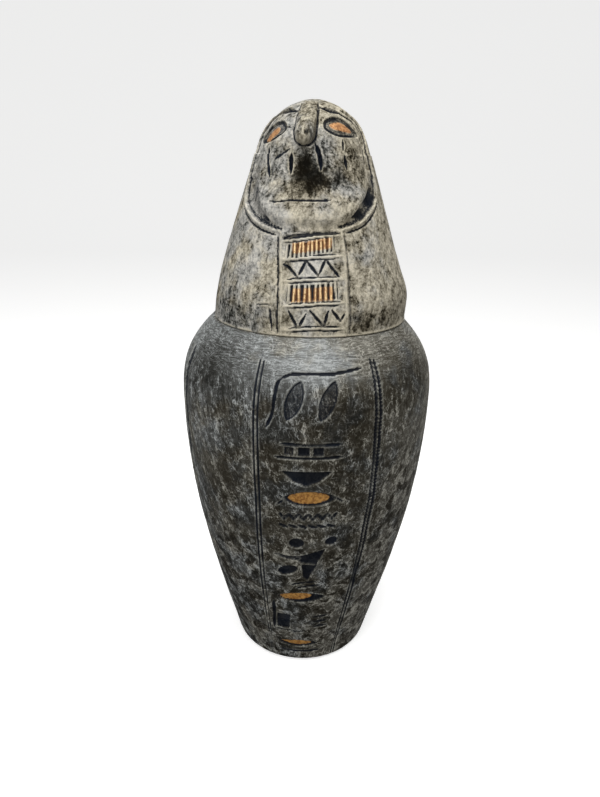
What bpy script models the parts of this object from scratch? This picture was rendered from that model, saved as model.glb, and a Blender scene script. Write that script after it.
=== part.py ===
"""Canopic jar with a falcon-headed lid.

Two solids: a hollow turned jar, and a solid carved lid that rests on the jar's flat rim with a plug
in its mouth.
The jar stands on the origin, +Z is up, and the inscribed panel faces -Y.
"""

import math

import bmesh
import bpy
from mathutils import Vector

MM = 0.001

# The jar's turned form
JAR_HEIGHT = 0.1975
FOOT_RADIUS = 0.0395
FOOT_ROUNDING = 0.003
BELLY_RADIUS = 0.067
BELLY_HEIGHT = 0.155
RIM_RADIUS = 0.050
TAPER_POWER = 1.06
SHOULDER_POWER = 2.8

# The hollow inside the jar
WALL = 0.009
FLOOR = 0.011
NECK_FULLNESS = 0.002
MOUTH_RADIUS = 0.038
MOUTH_DEPTH = 0.011
SHOULDER_WALL = 0.016

# Double scored lines that divide the jar into upright panels, and the ring above them
PANELS = 7
LINE_SPREAD = 2.0
LINE_WIDTH = 1.0
LINE_DEPTH = 0.0009
LINES_DROP = 0.009
LINES_FOOT = 0.004
LINES_RUN_OUT = 0.004
# The left side's pair was scored a little nearer the front, in degrees
SIDE_PAIR = 5
SIDE_PAIR_SWAY = 4.9
PANEL_LEAN = -3.5
LEAN_HEIGHT = 0.120
RING_DROP = 0.0075
RING_WIDTH = 0.0016
RING_DEPTH = 0.0004

# The lid's outline: it overlies the jar's rim but for a small inset, and its proportions follow its height
LID_HEIGHT = 0.1022
LID_INSET = 0.0004
LID_RADIUS = RIM_RADIUS - LID_INSET
LID_LIFT = 0.0003
LID_SHIFT = 0.001
SKIRT_HEIGHT = 0.128 * LID_HEIGHT
HEAD_RADIUS = 0.568 * LID_RADIUS
DOME_START = 0.761 * LID_HEIGHT
DOME_POWER = 3.0
SKIRT_BLEND = 0.0020
SKIRT_SWELL = 0.0012
PLUG_CLEARANCE = 0.0015
PLUG_LENGTH = 0.009
PLUG_CHAMFER = 0.001

# Where the lid's carving looks, in degrees round from the jar's own front
FACE_TURN = -12.5
BEAK_TURN = -14.0
JAW_TURN = -7.5
COLLAR_TURN = -3.0

# Sizes of the scored marks, and how far their cutters stand clear of the surface
PIT_DEPTH = 0.0011
CUTTER_RISE = 0.0012
END_THINNING = 0.45
EDGE_ANGLE = 35.0

STONE = (0.13, 0.125, 0.11)
PALE_STONE = (0.22, 0.21, 0.18)


def ease(value, low, high):
    """0 below low, 1 above high and a smooth climb between."""
    share = min(max((value - low) / (high - low), 0.0), 1.0)
    return share * share * (3 - 2 * share)


def bell(distance, spread):
    """1 at no distance, falling away smoothly to both sides."""
    return math.exp(-((distance / spread) ** 2))


# Jar surface


def jar_radius(height):
    """Outer radius of the jar: a quarter sine up to the belly, then a shoulder that turns in to the rim."""
    if height > BELLY_HEIGHT:
        share = min((height - BELLY_HEIGHT) / (JAR_HEIGHT - BELLY_HEIGHT), 1.0)
        return BELLY_RADIUS - (BELLY_RADIUS - RIM_RADIUS) * share**SHOULDER_POWER
    share = math.sin(math.pi / 2 * max(height, 0.0) / BELLY_HEIGHT) ** TAPER_POWER
    radius = FOOT_RADIUS + (BELLY_RADIUS - FOOT_RADIUS) * share
    if height < FOOT_ROUNDING:
        drop = 1 - height / FOOT_ROUNDING
        radius -= FOOT_ROUNDING * (1 - math.sqrt(1 - drop * drop))
    return radius


def panel_lean(height):
    """The scored panels twist a little towards the foot, in degrees."""
    return PANEL_LEAN * max(0.0, 1 - height / LEAN_HEIGHT)


def line_depth(height):
    """Depth of the upright scored lines, which run out at both ends."""
    top = ease(JAR_HEIGHT - LINES_DROP - height, 0.0, LINES_RUN_OUT)
    foot = ease(height - LINES_FOOT, -LINES_RUN_OUT, LINES_RUN_OUT)
    return LINE_DEPTH * min(top, foot)


def ring_cut(height):
    """Depth of the shallow ring scored round the shoulder."""
    return RING_DEPTH * max(0.0, 1 - abs(height - JAR_HEIGHT + RING_DROP) / (RING_WIDTH / 2))


def around(degrees, radius, height):
    """A point on a circle round the axis; 0 degrees faces -Y and turns towards +X."""
    turn = math.radians(degrees)
    return Vector((math.sin(turn) * radius, -math.cos(turn) * radius, height))


def jar_point(degrees, height):
    """A point on the jar's wall, at an angle from the middle of the leaning front panel."""
    return around(degrees + panel_lean(height), jar_radius(height), height)


# Lid surface


def lid_outline(height):
    """Radius of the plain lid: an upright skirt, a straight taper and a domed crown."""
    slope = (LID_RADIUS - HEAD_RADIUS) / (DOME_START - SKIRT_HEIGHT)
    taper = HEAD_RADIUS + slope * (DOME_START - height)
    if height > DOME_START:
        share = min((height - DOME_START) / (LID_HEIGHT - DOME_START), 1.0)
        return taper * math.sqrt(1 - share**DOME_POWER)
    gap = taper - LID_RADIUS
    return (taper + LID_RADIUS - math.sqrt(gap * gap + SKIRT_BLEND**2)) / 2 + SKIRT_BLEND / 4


# The named heights of the face are shares of the lid's height
BEAK_TIP = 0.797
BEAK_SWELL = 0.850
BEAK_ROOT = 0.975
BEAK_WIDTH = 0.091 * LID_HEIGHT
BEAK_REACH = 0.070 * LID_HEIGHT
MOUTH_LEVEL = 0.568
CHIN_LEVEL = 0.500
JAW_FOOT = 0.440
JAW_MIDDLE = 0.650
JAW_WIDTH = 0.665 * LID_HEIGHT
JAW_REACH = 0.033 * LID_HEIGHT
NECK_LEVEL = 0.432
HOLLOW_LEVEL = 0.700
HOLLOW_SPREAD = 0.060
HOLLOW_WIDTH = 0.108 * LID_HEIGHT
HOLLOW_DEPTH = 0.012 * LID_HEIGHT
LIP_SPREAD = 0.085
FACE_DEPTH = 0.013 * LID_HEIGHT
NECK_DEPTH = 0.010 * LID_HEIGHT
SWELL_LEVEL = 0.140
SWELL_SPREAD = 0.085
SWELL_RIGHT = 84.0
SWELL_LEFT = -95.0
SWELL_BREADTH = 45.0


def side_step(degrees, turn):
    """Signed angle from a centre line, between -180 and 180 degrees."""
    return (degrees - turn + 180.0) % 360.0 - 180.0


def beak_section(share):
    """Half width and forward reach of the beak: thin at the brow, fullest just above its rounded tip."""
    half = BEAK_WIDTH / 2
    if share < BEAK_SWELL:
        drop = (BEAK_SWELL - share) / (BEAK_SWELL - BEAK_TIP)
        return half * math.sqrt(1 - drop * drop), BEAK_REACH * (1 - drop**3) ** 0.6
    climb = (share - BEAK_SWELL) / (BEAK_ROOT - BEAK_SWELL)
    return half * (1 - 0.3 * climb**3), BEAK_REACH * (1 - 0.85 * climb**1.3)


def jaw_reach(across, share):
    """The cheeks, mouth and chin swell out of a hollow that runs inside the wig's hem."""
    over = (share - JAW_MIDDLE) / (JAW_MIDDLE - JAW_FOOT)
    if over > 0.0:
        over *= 0.35
    spread = (abs(across / (JAW_WIDTH / 2)) ** 2.6 + abs(over) ** 2.6) ** (1 / 2.6)
    body = 1 - ease(spread, 0.72, 1.03)
    lip = bell(share - (MOUTH_LEVEL + CHIN_LEVEL) / 2, LIP_SPREAD)
    hollow = bell(share - HOLLOW_LEVEL, HOLLOW_SPREAD) * bell(across, HOLLOW_WIDTH)
    return body * JAW_REACH * (0.35 + 0.65 * lip) - HOLLOW_DEPTH * hollow


def inside_wig(degrees, share):
    """1 where the face lies back inside the wig's opening, fading out towards the hem."""
    edge = hem_angle(share)
    side = 1 - ease(abs(side_step(degrees, HEM_TURN)), edge - 9, edge - 1)
    return side * ease(share, NECK_LEVEL, NECK_LEVEL + 0.03) * (1 - ease(share, 0.93, 0.975))


def lid_relief(degrees, height):
    """Outward carving of the lid that is broad enough for the turned grid: face, jaw and skirt."""
    share = height / LID_HEIGHT
    radius = lid_outline(height)
    on_jaw = math.radians(side_step(degrees, JAW_TURN)) * radius
    inside = inside_wig(degrees, share)
    out = inside * (jaw_reach(on_jaw, share) - FACE_DEPTH)
    neck = ease(share, NECK_LEVEL - 0.035, NECK_LEVEL - 0.015)
    neck *= 1 - ease(share, NECK_LEVEL, NECK_LEVEL + 0.02)
    out -= NECK_DEPTH * neck * (1 - ease(abs(side_step(degrees, COLLAR_TURN)), 15, 18))
    right = bell(side_step(degrees, SWELL_RIGHT), SWELL_BREADTH)
    left = bell(side_step(degrees, SWELL_LEFT), SWELL_BREADTH)
    swell = bell(share - SWELL_LEVEL, SWELL_SPREAD)
    return out + SKIRT_SWELL * swell * (right - 0.6 * left)


def lid_point(degrees, height):
    """A point on the carved lid, placed on the jar."""
    radius = lid_outline(height) + lid_relief(degrees, height)
    point = around(degrees, radius, JAR_HEIGHT + LID_LIFT + height)
    return point + Vector((LID_SHIFT, 0.0, 0.0))


# The wig's hem: half angles from its centre line, at shares of the lid's height
HEM_SIDE = (
    (0.447, 21.0),
    (0.456, 29.5),
    (0.477, 40.0),
    (0.501, 48.0),
    (0.530, 55.5),
    (0.566, 62.0),
    (0.608, 66.0),
    (0.680, 68.5),
    (0.790, 71.5),
    (0.860, 73.0),
    (0.908, 69.5),
    (0.943, 56.0),
    (0.962, 38.0),
    (0.971, 20.0),
)
HEM_WIDTH = 0.0196 * LID_HEIGHT
HEM_RISE = 0.0078 * LID_HEIGHT
SIDE_RISE = 1.1 * HEM_RISE
HEM_TURN = -5.5
HEM_LINE_STEP = 2.9
HEM_LINE_DROP = 0.0157 * LID_HEIGHT
SIDE_LINE_STEP = 2.2
HEM_LINE = (0.0117 * LID_HEIGHT, 0.0078 * LID_HEIGHT)
SIDE_LINE = (0.0098 * LID_HEIGHT, 0.0078 * LID_HEIGHT)


def hem_angle(share):
    """Half angle of the wig's opening at a share of the lid's height."""
    if share <= HEM_SIDE[0][0]:
        return HEM_SIDE[0][1]
    for (low, first), (high, second) in zip(HEM_SIDE, HEM_SIDE[1:]):
        if share <= high:
            return first + (second - first) * (share - low) / (high - low)
    return HEM_SIDE[-1][1]


# Mesh building


def new_object(name, colour, make):
    """A mesh object made by a bmesh function, with its own material."""
    mesh = bpy.data.meshes.new(name)
    shape = bmesh.new()
    make(shape)
    bmesh.ops.recalc_face_normals(shape, faces=shape.faces)
    shape.to_mesh(mesh)
    shape.free()
    thing = bpy.data.objects.new(name, mesh)
    bpy.context.scene.collection.objects.link(thing)
    material = bpy.data.materials.new(name + "_finish")
    material.use_nodes = True
    shader = material.node_tree.nodes["Principled BSDF"]
    shader.inputs["Base Color"].default_value = (*colour, 1.0)
    shader.inputs["Roughness"].default_value = 0.75
    shader.inputs["Metallic"].default_value = 0.0
    mesh.materials.append(material)
    return thing


def join_rings(shape, rings):
    """Faces between consecutive closed rings, which may differ in their number of points only by a pole."""
    for lower, upper in zip(rings, rings[1:]):
        count = max(len(lower), len(upper))
        for i in range(count):
            j = (i + 1) % count
            corners = [lower[i % len(lower)], lower[j % len(lower)]]
            corners += [upper[j % len(upper)], upper[i % len(upper)]]
            kept = [c for k, c in enumerate(corners) if c not in corners[:k]]
            if len(kept) > 2:
                shape.faces.new(kept)


def ring(shape, points):
    """Vertices of one ring; a single point is a pole."""
    return [shape.verts.new(p) for p in points]


def sweep(shape, stations):
    """A closed tube through stations, each a list of the same number of section points."""
    rings = [ring(shape, points) for points in stations]
    join_rings(shape, rings)
    shape.faces.new(list(reversed(rings[0])))
    shape.faces.new(rings[-1])


def outward(surface, degrees, height):
    """Outward normal of a surface at an angle and a height."""
    point = surface(degrees, height)
    sideways = surface(degrees + 0.5, height) - point
    upwards = surface(degrees, height + 0.25 * MM) - point
    return sideways.cross(upwards).normalized()


def groove(shape, surface, path, width, depth):
    """A V-shaped cutter along a path, thinner at both ends; its rim stands clear of the surface."""
    stations = []
    for k, place in enumerate(path):
        point = surface(*place)
        normal = outward(surface, *place)
        along = surface(*path[min(k + 1, len(path) - 1)]) - surface(*path[max(k - 1, 0)])
        sideways = along.cross(normal).normalized()
        thick = END_THINNING if k in (0, len(path) - 1) else 1.0
        half = width / 2 * thick * (depth + CUTTER_RISE) / depth
        top = point + normal * CUTTER_RISE
        stations.append([top - sideways * half, top + sideways * half, point - normal * depth * thick])
    sweep(shape, stations)


def pit(shape, surface, outline, depth=PIT_DEPTH):
    """A flat-floored cutter with the outline given on the surface."""
    flat = [surface(*place) for place in outline]
    normal = sum((outward(surface, *place) for place in outline), Vector()).normalized()
    above = [p + normal * CUTTER_RISE for p in flat]
    below = [p - normal * depth for p in flat]
    top = sum(above, Vector()) / len(above)
    floor = sum(below, Vector()) / len(below)
    join_rings(shape, [ring(shape, points) for points in ([floor], below, above, [top])])


# The jar


def line_columns():
    """Angles of the turned grid, with the share of the groove depth at each."""
    columns = []
    edges = [(k + 0.5) * 360.0 / PANELS for k in range(PANELS)]
    edges[SIDE_PAIR] += SIDE_PAIR_SWAY
    plain = 4
    for edge, following in zip(edges, edges[1:] + [edges[0] + 360.0]):
        for side in (-1, 1):
            middle = edge + side * LINE_SPREAD / 2
            columns += [(middle - LINE_WIDTH / 2, 0.0), (middle, 1.0), (middle + LINE_WIDTH / 2, 0.0)]
        start = edge + LINE_SPREAD / 2 + LINE_WIDTH / 2
        width = following - edge - LINE_SPREAD - LINE_WIDTH
        columns += [(start + width * i / (plain + 1), 0.0) for i in range(1, plain + 1)]
    return columns


def jar_levels():
    """Heights of the outer rings, closer together at the foot, the shoulder and the scored ring."""
    foot = [FOOT_ROUNDING * (1 - math.cos(math.pi / 2 * i / 3)) for i in range(4)]
    steps = 8
    wall = [FOOT_ROUNDING + (BELLY_HEIGHT - FOOT_ROUNDING) * i / steps for i in range(1, steps + 1)]
    shoulder = [BELLY_HEIGHT + (JAR_HEIGHT - BELLY_HEIGHT) * share for share in (0.25, 0.45, 0.62)]
    scored = [JAR_HEIGHT - RING_DROP + RING_WIDTH / 2 * side for side in (-1, 0, 1)]
    top = [JAR_HEIGHT - (RING_DROP - RING_WIDTH / 2) / 2, JAR_HEIGHT]
    return sorted(foot + wall + shoulder + scored + top)


def inner_outline():
    """Radius and height of the hollow, from the mouth down to the floor."""
    under = JAR_HEIGHT - MOUTH_DEPTH
    belly_top = JAR_HEIGHT - MOUTH_DEPTH - SHOULDER_WALL
    outline = [(MOUTH_RADIUS, JAR_HEIGHT), (MOUTH_RADIUS, under)]
    neck = (MOUTH_RADIUS + jar_radius(belly_top) - WALL) / 2 + NECK_FULLNESS
    outline.append((neck, (under + belly_top * 2) / 3))
    steps = 6
    for i in range(steps + 1):
        height = belly_top + (FLOOR + 2 * FOOT_ROUNDING - belly_top) * i / steps
        outline.append((jar_radius(height) - WALL, height))
    outline.append((jar_radius(FLOOR) - WALL - FOOT_ROUNDING, FLOOR))
    return outline


def make_jar(shape):
    """Outer wall with its scored lines, flat rim, and the hollow inside, as one closed skin."""
    columns = line_columns()
    inner_sides = 28
    rings = [ring(shape, [(0.0, 0.0, 0.0)])]
    for height in jar_levels():
        lean = panel_lean(height)
        depth = line_depth(height)
        radius = jar_radius(height) - ring_cut(height)
        places = [around(a + lean, radius - depth * share, height) for a, share in columns]
        rings.append(ring(shape, places))
    join_rings(shape, rings)
    inner = [
        ring(shape, [around(360.0 * i / inner_sides, radius, height) for i in range(inner_sides)])
        for radius, height in inner_outline()
    ]
    join_rings(shape, inner + [ring(shape, [(0.0, 0.0, FLOOR)])])
    bridge = [edge for edge in shape.edges if edge.is_boundary]
    bmesh.ops.bridge_loops(shape, edges=bridge)


# Rows of marks in the jar's front panel: plain strokes and shapes, drawn on a panel this wide and tall
PANEL_UNITS = (134.0, 197.5)


def on_panel(places):
    """Angles and heights of places drawn on a flat panel, laid on the jar's breadth and height."""
    wide = 2 * BELLY_RADIUS / PANEL_UNITS[0]
    tall = JAR_HEIGHT / PANEL_UNITS[1]
    return [(math.degrees(x * wide / jar_radius(z * tall)), z * tall) for x, z in places]


def lens(middle, level, half_length, half_height, points=12):
    """Outline of a pointed oval."""
    places = []
    for i in range(points):
        turn = 2 * math.pi * i / points
        places.append((middle + half_length * math.cos(turn), level + half_height * math.sin(turn) ** 3))
    return places


def oval(middle, level, half_length, half_height, tilt=0.0, points=8, power=1.0):
    """Outline of an oval turned by tilt degrees; a power over 1 draws it in to a lozenge."""
    turn_all = math.radians(tilt)
    places = []
    for i in range(points):
        turn = 2 * math.pi * i / points
        x = half_length * math.copysign(abs(math.cos(turn)) ** power, math.cos(turn))
        z = half_height * math.copysign(abs(math.sin(turn)) ** power, math.sin(turn))
        places.append(
            (
                middle + x * math.cos(turn_all) - z * math.sin(turn_all),
                level + x * math.sin(turn_all) + z * math.cos(turn_all),
            )
        )
    return places


def block(left, right, low, high):
    """Outline of a rectangle."""
    return [(left, low), (right, low), (right, high), (left, high)]


def panel_strokes():
    """Paths of the scored marks on the panel, with their width and depth in millimetres."""
    strokes = [
        ([(-17, 181.8), (-12, 183.7), (-3, 184.0), (6, 184.0), (13, 184.7), (20.5, 185.6)], 1.5, 1.0),
        ([(-19, 179), (-20.3, 172.7), (-21.5, 165.7), (-24.3, 159.4)], 1.8, 1.1),
        ([(-17.5, 151.8), (-3, 151.6), (11.7, 151.8)], 1.2, 0.9),
        ([(-19.7, 145), (-4, 144.8), (12, 145.2)], 1.2, 0.9),
        ([(-19, 118.6), (-15.6, 121.8)], 1.0, 0.7),
        ([(10, 122.5), (13.5, 119.5)], 1.0, 0.7),
        ([(-9, 66.3), (-3, 67.8), (3.5, 68.6)], 0.9, 0.6),
        ([(-6, 64.0), (0, 65.2), (6, 66.0)], 0.9, 0.6),
        ([(-18.3, 51.2), (-17.6, 40), (-17.2, 28.6)], 1.5, 1.1),
        ([(-16.0, 27.6), (-8, 27.2), (-1.1, 26.6)], 1.0, 0.8),
        ([(-13.2, 9.0), (-1, 8.6), (10.3, 9.2)], 1.4, 0.8),
    ]
    chevrons = 6
    for k in range(chevrons):
        x = -15.0 + 4.7 * k
        strokes.append(([(x - 1.6, 113.0), (x, 111.0)], 0.9, 0.7))
        strokes.append(([(x + 0.4, 111.2), (x + 1.8, 113.2)], 0.9, 0.7))
        strokes.append(([(x - 1.5, 106.6), (x + 1.6, 106.0)], 1.0, 0.7))
    for level in (39.5, 35.3, 31.0):
        strokes.append(([(5.4, level), (11.4, level + 0.6)], 1.1, 0.8))
    return strokes


def panel_pits():
    """Outlines of the sunk shapes in the panel."""
    lozenges = [oval(x, 172.2, 9.4, 3.0, tilt=69, points=12, power=1.5) for x in (-11.3, 4.4)]
    blocks = [block(x, x + wide, 146.2, 150.4) for x, wide in ((-15.6, 4.6), (-9.2, 5.7), (-2.2, 5.2))]
    wedges = [
        [(-16.5, 137.2), (-4.9, 130.0), (7.0, 137.2)],
        [(-17.5, 86.0), (-2, 84.6), (3.5, 83.0), (6.5, 91.4)],
        [(-3.6, 80.6), (-1.8, 69.5), (3.0, 80.0)],
    ]
    dots = [oval(-8.0, 95.6, 3.0, 2.4), oval(9.5, 96.6, 2.5, 2.0, tilt=20)]
    dots.append(oval(-11.5, 76.6, 5.0, 2.7, tilt=22))
    eyes = [lens(-2.9, 122.6, 11.6, 3.9), lens(-3.1, 56.0, 12.2, 3.2), lens(-3.0, 15.6, 10.2, 2.6)]
    square = [block(-16.0, -8.8, 29.4, 41.6)]
    return lozenges + blocks + wedges + dots + eyes + square


def make_panel_cuts(shape):
    """All cutters for the marks in the front panel."""
    for path, width, depth in panel_strokes():
        groove(shape, jar_point, on_panel(path), width * MM, depth * MM)
    for outline in panel_pits():
        pit(shape, jar_point, on_panel(outline))


# The lid


def lid_columns():
    """Angles of the lid's grid, close together across the face and open at the back."""
    front = [FACE_TURN + 3.2 * i for i in range(-6, 7)]
    near = 19.2
    far = 77.0
    steps = 8
    reach = [near + (far - near) * i / steps for i in range(1, steps + 1)]
    sides = [FACE_TURN + side * angle for side in (-1, 1) for angle in reach]
    gaps = 13
    back = [FACE_TURN + far + (360.0 - 2 * far) * i / gaps for i in range(1, gaps)]
    return sorted(angle % 360.0 for angle in front + sides + back)


def lid_levels():
    """Heights of the lid's rings as shares of its height, closer together round the mouth and the crown."""
    skirt = [0.0, 0.06, 0.12, 0.18, 0.25, 0.39]
    jaw = [0.415, 0.430, 0.450, 0.475, 0.505, 0.540, 0.575, 0.62, 0.67, 0.73]
    brow = [0.785, 0.83, 0.87, 0.905, 0.935]
    crown = [0.960, 0.979, 0.992]
    return skirt + jaw + brow + crown


def make_lid(shape):
    """The carved head over its plug, as one closed skin."""
    columns = lid_columns()
    seat = JAR_HEIGHT + LID_LIFT
    plug_radius = MOUTH_RADIUS - PLUG_CLEARANCE
    shift = Vector((LID_SHIFT, 0.0, 0.0))
    plug = [ring(shape, [(LID_SHIFT, 0.0, seat - PLUG_LENGTH)])]
    for radius, height in (
        (plug_radius - PLUG_CHAMFER, seat - PLUG_LENGTH),
        (plug_radius, seat - PLUG_LENGTH + PLUG_CHAMFER),
        (plug_radius, seat),
    ):
        plug.append(ring(shape, [around(a, radius, height) + shift for a in columns]))
    body = [ring(shape, [lid_point(a, share * LID_HEIGHT) for a in columns]) for share in lid_levels()]
    crown = ring(shape, [(LID_SHIFT, 0.0, seat + LID_HEIGHT)])
    join_rings(shape, plug + body + [crown])


def make_beak(shape):
    """The beak: a rounded body that leaves the brow and ends in a blunt tip over the face."""
    shares = [BEAK_ROOT, 0.955, 0.93, 0.90, 0.87, BEAK_SWELL, 0.83, 0.816, 0.806, 0.800]
    points = 14
    sunk = BEAK_REACH / 3
    stations = []
    for share in shares:
        half, reach = beak_section(share)
        height = share * LID_HEIGHT
        middle = lid_point(BEAK_TURN, height)
        out = around(BEAK_TURN, 1.0, 0.0)
        across = around(BEAK_TURN + 90, 1.0, 0.0)
        section = []
        for i in range(points):
            turn = 2 * math.pi * i / points
            forward = math.sin(turn)
            push = reach * forward**0.9 if forward > 0 else sunk * forward
            section.append(middle + across * half * math.cos(turn) + out * (push - BEAK_REACH / 10))
        stations.append(section)
    tip = lid_point(BEAK_TURN, BEAK_TIP * LID_HEIGHT) + around(BEAK_TURN, BEAK_REACH / 5, 0.0)
    rings = [ring(shape, section) for section in stations] + [ring(shape, [tip])]
    join_rings(shape, rings)
    shape.faces.new(list(reversed(rings[0])))


def hem_path(side):
    """One side of the hem, from the collar's corner up to the crown."""
    return [(HEM_TURN + side * angle, share * LID_HEIGHT) for share, angle in HEM_SIDE]


def collar_edge(side):
    """The hem's straight run down one side of the collar."""
    corner = HEM_SIDE[0]
    steps = 5
    path = []
    for i in range(steps + 1):
        share = (corner[0] - COLLAR_TOP_DROP) * (1 - i / steps) + COLLAR_FOOT * i / steps
        angle = corner[1] + (COLLAR_SIDE - corner[1]) * ease(i / steps, 0.0, 1.0)
        path.append((HEM_TURN + (COLLAR_TURN - HEM_TURN) * i / steps + side * angle, share * LID_HEIGHT))
    return path


CORD_CHEEK = 0.9


def cord(shape, path, width, rise):
    """A rounded raised cord, half sunk in the lid's surface."""
    stations = []
    for k, place in enumerate(path):
        point = lid_point(*place)
        normal = outward(lid_point, *place)
        along = lid_point(*path[min(k + 1, len(path) - 1)]) - lid_point(*path[max(k - 1, 0)])
        half = along.cross(normal).normalized() * width / 2
        stations.append(
            [
                point - half - normal * rise,
                point + half - normal * rise,
                point + half * CORD_CHEEK + normal * rise / 2,
                point + normal * rise,
                point - half * CORD_CHEEK + normal * rise / 2,
            ]
        )
    sweep(shape, stations)


def make_hems(shape):
    """The raised hem round the face."""
    for side in (-1, 1):
        cord(shape, hem_path(side), HEM_WIDTH, HEM_RISE)


def make_collar_sides(shape):
    """The hem's two straight runs beside the collar."""
    for side in (-1, 1):
        cord(shape, collar_edge(side), HEM_WIDTH, SIDE_RISE)


# The collar's bands: heights of the double lines at the collar's middle, and how each climbs to the right
COLLAR_LINES = ((0.419, 0.013), (0.338, 0.009), (0.246, 0.007), (0.143, 0.009), (0.034, 0.005))
COLLAR_HALF = 15.0
COLLAR_SIDE = 17.2
COLLAR_FOOT = 0.014
COLLAR_TOP_DROP = 0.004
LINE_GAP = 0.0085
THIN_MARK = (0.0078 * LID_HEIGHT, 0.0068 * LID_HEIGHT)
BOLD_MARK = (0.0108 * LID_HEIGHT, 0.0088 * LID_HEIGHT)
COMB_REACH = 0.88
COMB_CLIMB = 0.008
COMBS = ((0.352, 0.406, 12), (0.158, 0.232, 10))
ZIGZAGS = (
    ((-1.10, 0.304), (-0.64, 0.262)),
    ((-0.60, 0.268), (-0.35, 0.322)),
    ((-0.31, 0.322), (0.15, 0.266)),
    ((0.19, 0.270), (0.43, 0.326)),
    ((0.47, 0.326), (0.95, 0.264)),
    ((-0.92, 0.116), (-0.58, 0.048)),
    ((-0.50, 0.050), (-0.28, 0.104)),
    ((-0.12, 0.120), (0.33, 0.056)),
    ((0.38, 0.058), (0.52, 0.116)),
    ((0.66, 0.120), (0.96, 0.070)),
)


def collar_place(across, share, climb):
    """A place on the collar; across runs from -1 at its left edge to 1 at its right edge."""
    return (COLLAR_TURN + across * COLLAR_HALF, (share + climb * across) * LID_HEIGHT)


def make_collar_cuts(shape):
    """Lines, combs and zigzags of the broad collar."""
    for share, climb in COLLAR_LINES:
        for side in (-1, 1):
            path = [collar_place(a, share + side * LINE_GAP, climb) for a in (-1.0, -0.5, 0.0, 0.5, 1.0)]
            groove(shape, lid_point, path, *THIN_MARK)
    for low, high, teeth in COMBS:
        for i in range(teeth):
            across = COMB_REACH * (2 * i / (teeth - 1) - 1)
            path = [collar_place(across, share, COMB_CLIMB * across) for share in (low, high)]
            groove(shape, lid_point, path, *THIN_MARK)
    for ends in ZIGZAGS:
        path = [collar_place(across, share, 0.0) for across, share in ends]
        groove(shape, lid_point, path, *BOLD_MARK)


def eye_outline(middle, level, half_width, over, under, tilt, points=14):
    """An almond on the face, sized in shares of the lid's height, fuller above its long axis than below."""
    places = []
    turn_all = math.radians(tilt)
    radius = lid_outline(level * LID_HEIGHT)
    for i in range(points):
        turn = 2 * math.pi * i / points
        x = LID_HEIGHT * half_width * math.cos(turn)
        z = LID_HEIGHT * (over if math.sin(turn) > 0 else -under) * abs(math.sin(turn)) ** 1.3
        across = x * math.cos(turn_all) - z * math.sin(turn_all)
        up = x * math.sin(turn_all) + z * math.cos(turn_all)
        places.append((FACE_TURN + middle + math.degrees(across / radius), level * LID_HEIGHT + up))
    return places


# Each eye: angle of its middle, its level, half width, rise over and under its long axis, and its tilt
EYES = ((-38.2, 0.841, 0.075, 0.037, 0.022, 24.0), (38.0, 0.858, 0.081, 0.044, 0.023, -12.4))


# Scored marks of the face: angles from its centre line with shares of the lid's height, then the width and
# the depth of each mark in thousandths of the lid's height
FACE_STROKES = (
    (((-25.0, 0.560), (-11.5, 0.566), (2.0, 0.567), (11.3, 0.574), (19.5, 0.570)), 12.7, 10.8),
    (((-12.2, 0.762), (-11.5, 0.720), (-10.4, 0.676)), 16.6, 12.7),
    (((9.4, 0.800), (13.0, 0.762), (14.2, 0.728), (13.4, 0.690)), 19.6, 14.7),
    (((-39.1, 0.784), (-35.5, 0.722), (-31.6, 0.662)), 13.7, 10.8),
    (((38.0, 0.815), (36.3, 0.770), (37.0, 0.704)), 11.7, 7.8),
    (((61.3, 0.772), (60.8, 0.715)), 9.8, 6.8),
    (((18.0, 0.953), (31.2, 0.946), (48.2, 0.938), (58.5, 0.920), (65.0, 0.888)), 16.6, 11.7),
    (((-24.0, 0.945), (-40.4, 0.940), (-55.0, 0.926), (-61.0, 0.905), (-65.0, 0.872)), 16.6, 11.7),
)


def make_face_cuts(shape):
    """Eyes, brows, cheek marks and the mouth."""
    unit = LID_HEIGHT / 1000
    for path, width, depth in FACE_STROKES:
        places = [(FACE_TURN + angle, share * LID_HEIGHT) for angle, share in path]
        groove(shape, lid_point, places, width * unit, depth * unit)
    for eye in EYES:
        pit(shape, lid_point, eye_outline(*eye))


def make_hem_cuts(shape):
    """The line scored outside the hem."""
    for side in (-1, 1):
        outer = []
        for angle, height in hem_path(side):
            drop = HEM_LINE_DROP * (1 - ease(height / LID_HEIGHT, 0.5, 0.62))
            outer.append((angle + side * HEM_LINE_STEP, height - drop))
        down = [(angle + side * SIDE_LINE_STEP, height) for angle, height in collar_edge(side)]
        groove(shape, lid_point, outer, *HEM_LINE)
        groove(shape, lid_point, down, *SIDE_LINE)


def combine(target, tool_name, make, operation):
    """Adds or cuts a tool mesh with a Boolean modifier, and hides the tool."""
    tool = new_object(tool_name, STONE, make)
    tool.hide_render = True
    tool.display_type = "WIRE"
    cut = target.modifiers.new(tool_name, "BOOLEAN")
    cut.object = tool
    cut.operation = operation
    cut.solver = "EXACT"
    cut.use_self = True


def shade(thing):
    """Smooth shading with the carved edges kept sharp."""
    thing.data.shade_smooth()
    thing.data.set_sharp_from_angle(angle=math.radians(EDGE_ANGLE))


def main():
    for old in list(bpy.data.objects):
        bpy.data.objects.remove(old)
    jar = new_object("jar", STONE, make_jar)
    shade(jar)
    combine(jar, "panel_cutter", make_panel_cuts, "DIFFERENCE")
    lid = new_object("lid", PALE_STONE, make_lid)
    shade(lid)
    combine(lid, "hem_tool", make_hems, "UNION")
    combine(lid, "collar_tool", make_collar_sides, "UNION")
    combine(lid, "hem_cutter", make_hem_cuts, "DIFFERENCE")
    combine(lid, "collar_cutter", make_collar_cuts, "DIFFERENCE")
    combine(lid, "face_cutter", make_face_cuts, "DIFFERENCE")
    combine(lid, "beak_tool", make_beak, "UNION")


main()
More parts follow.
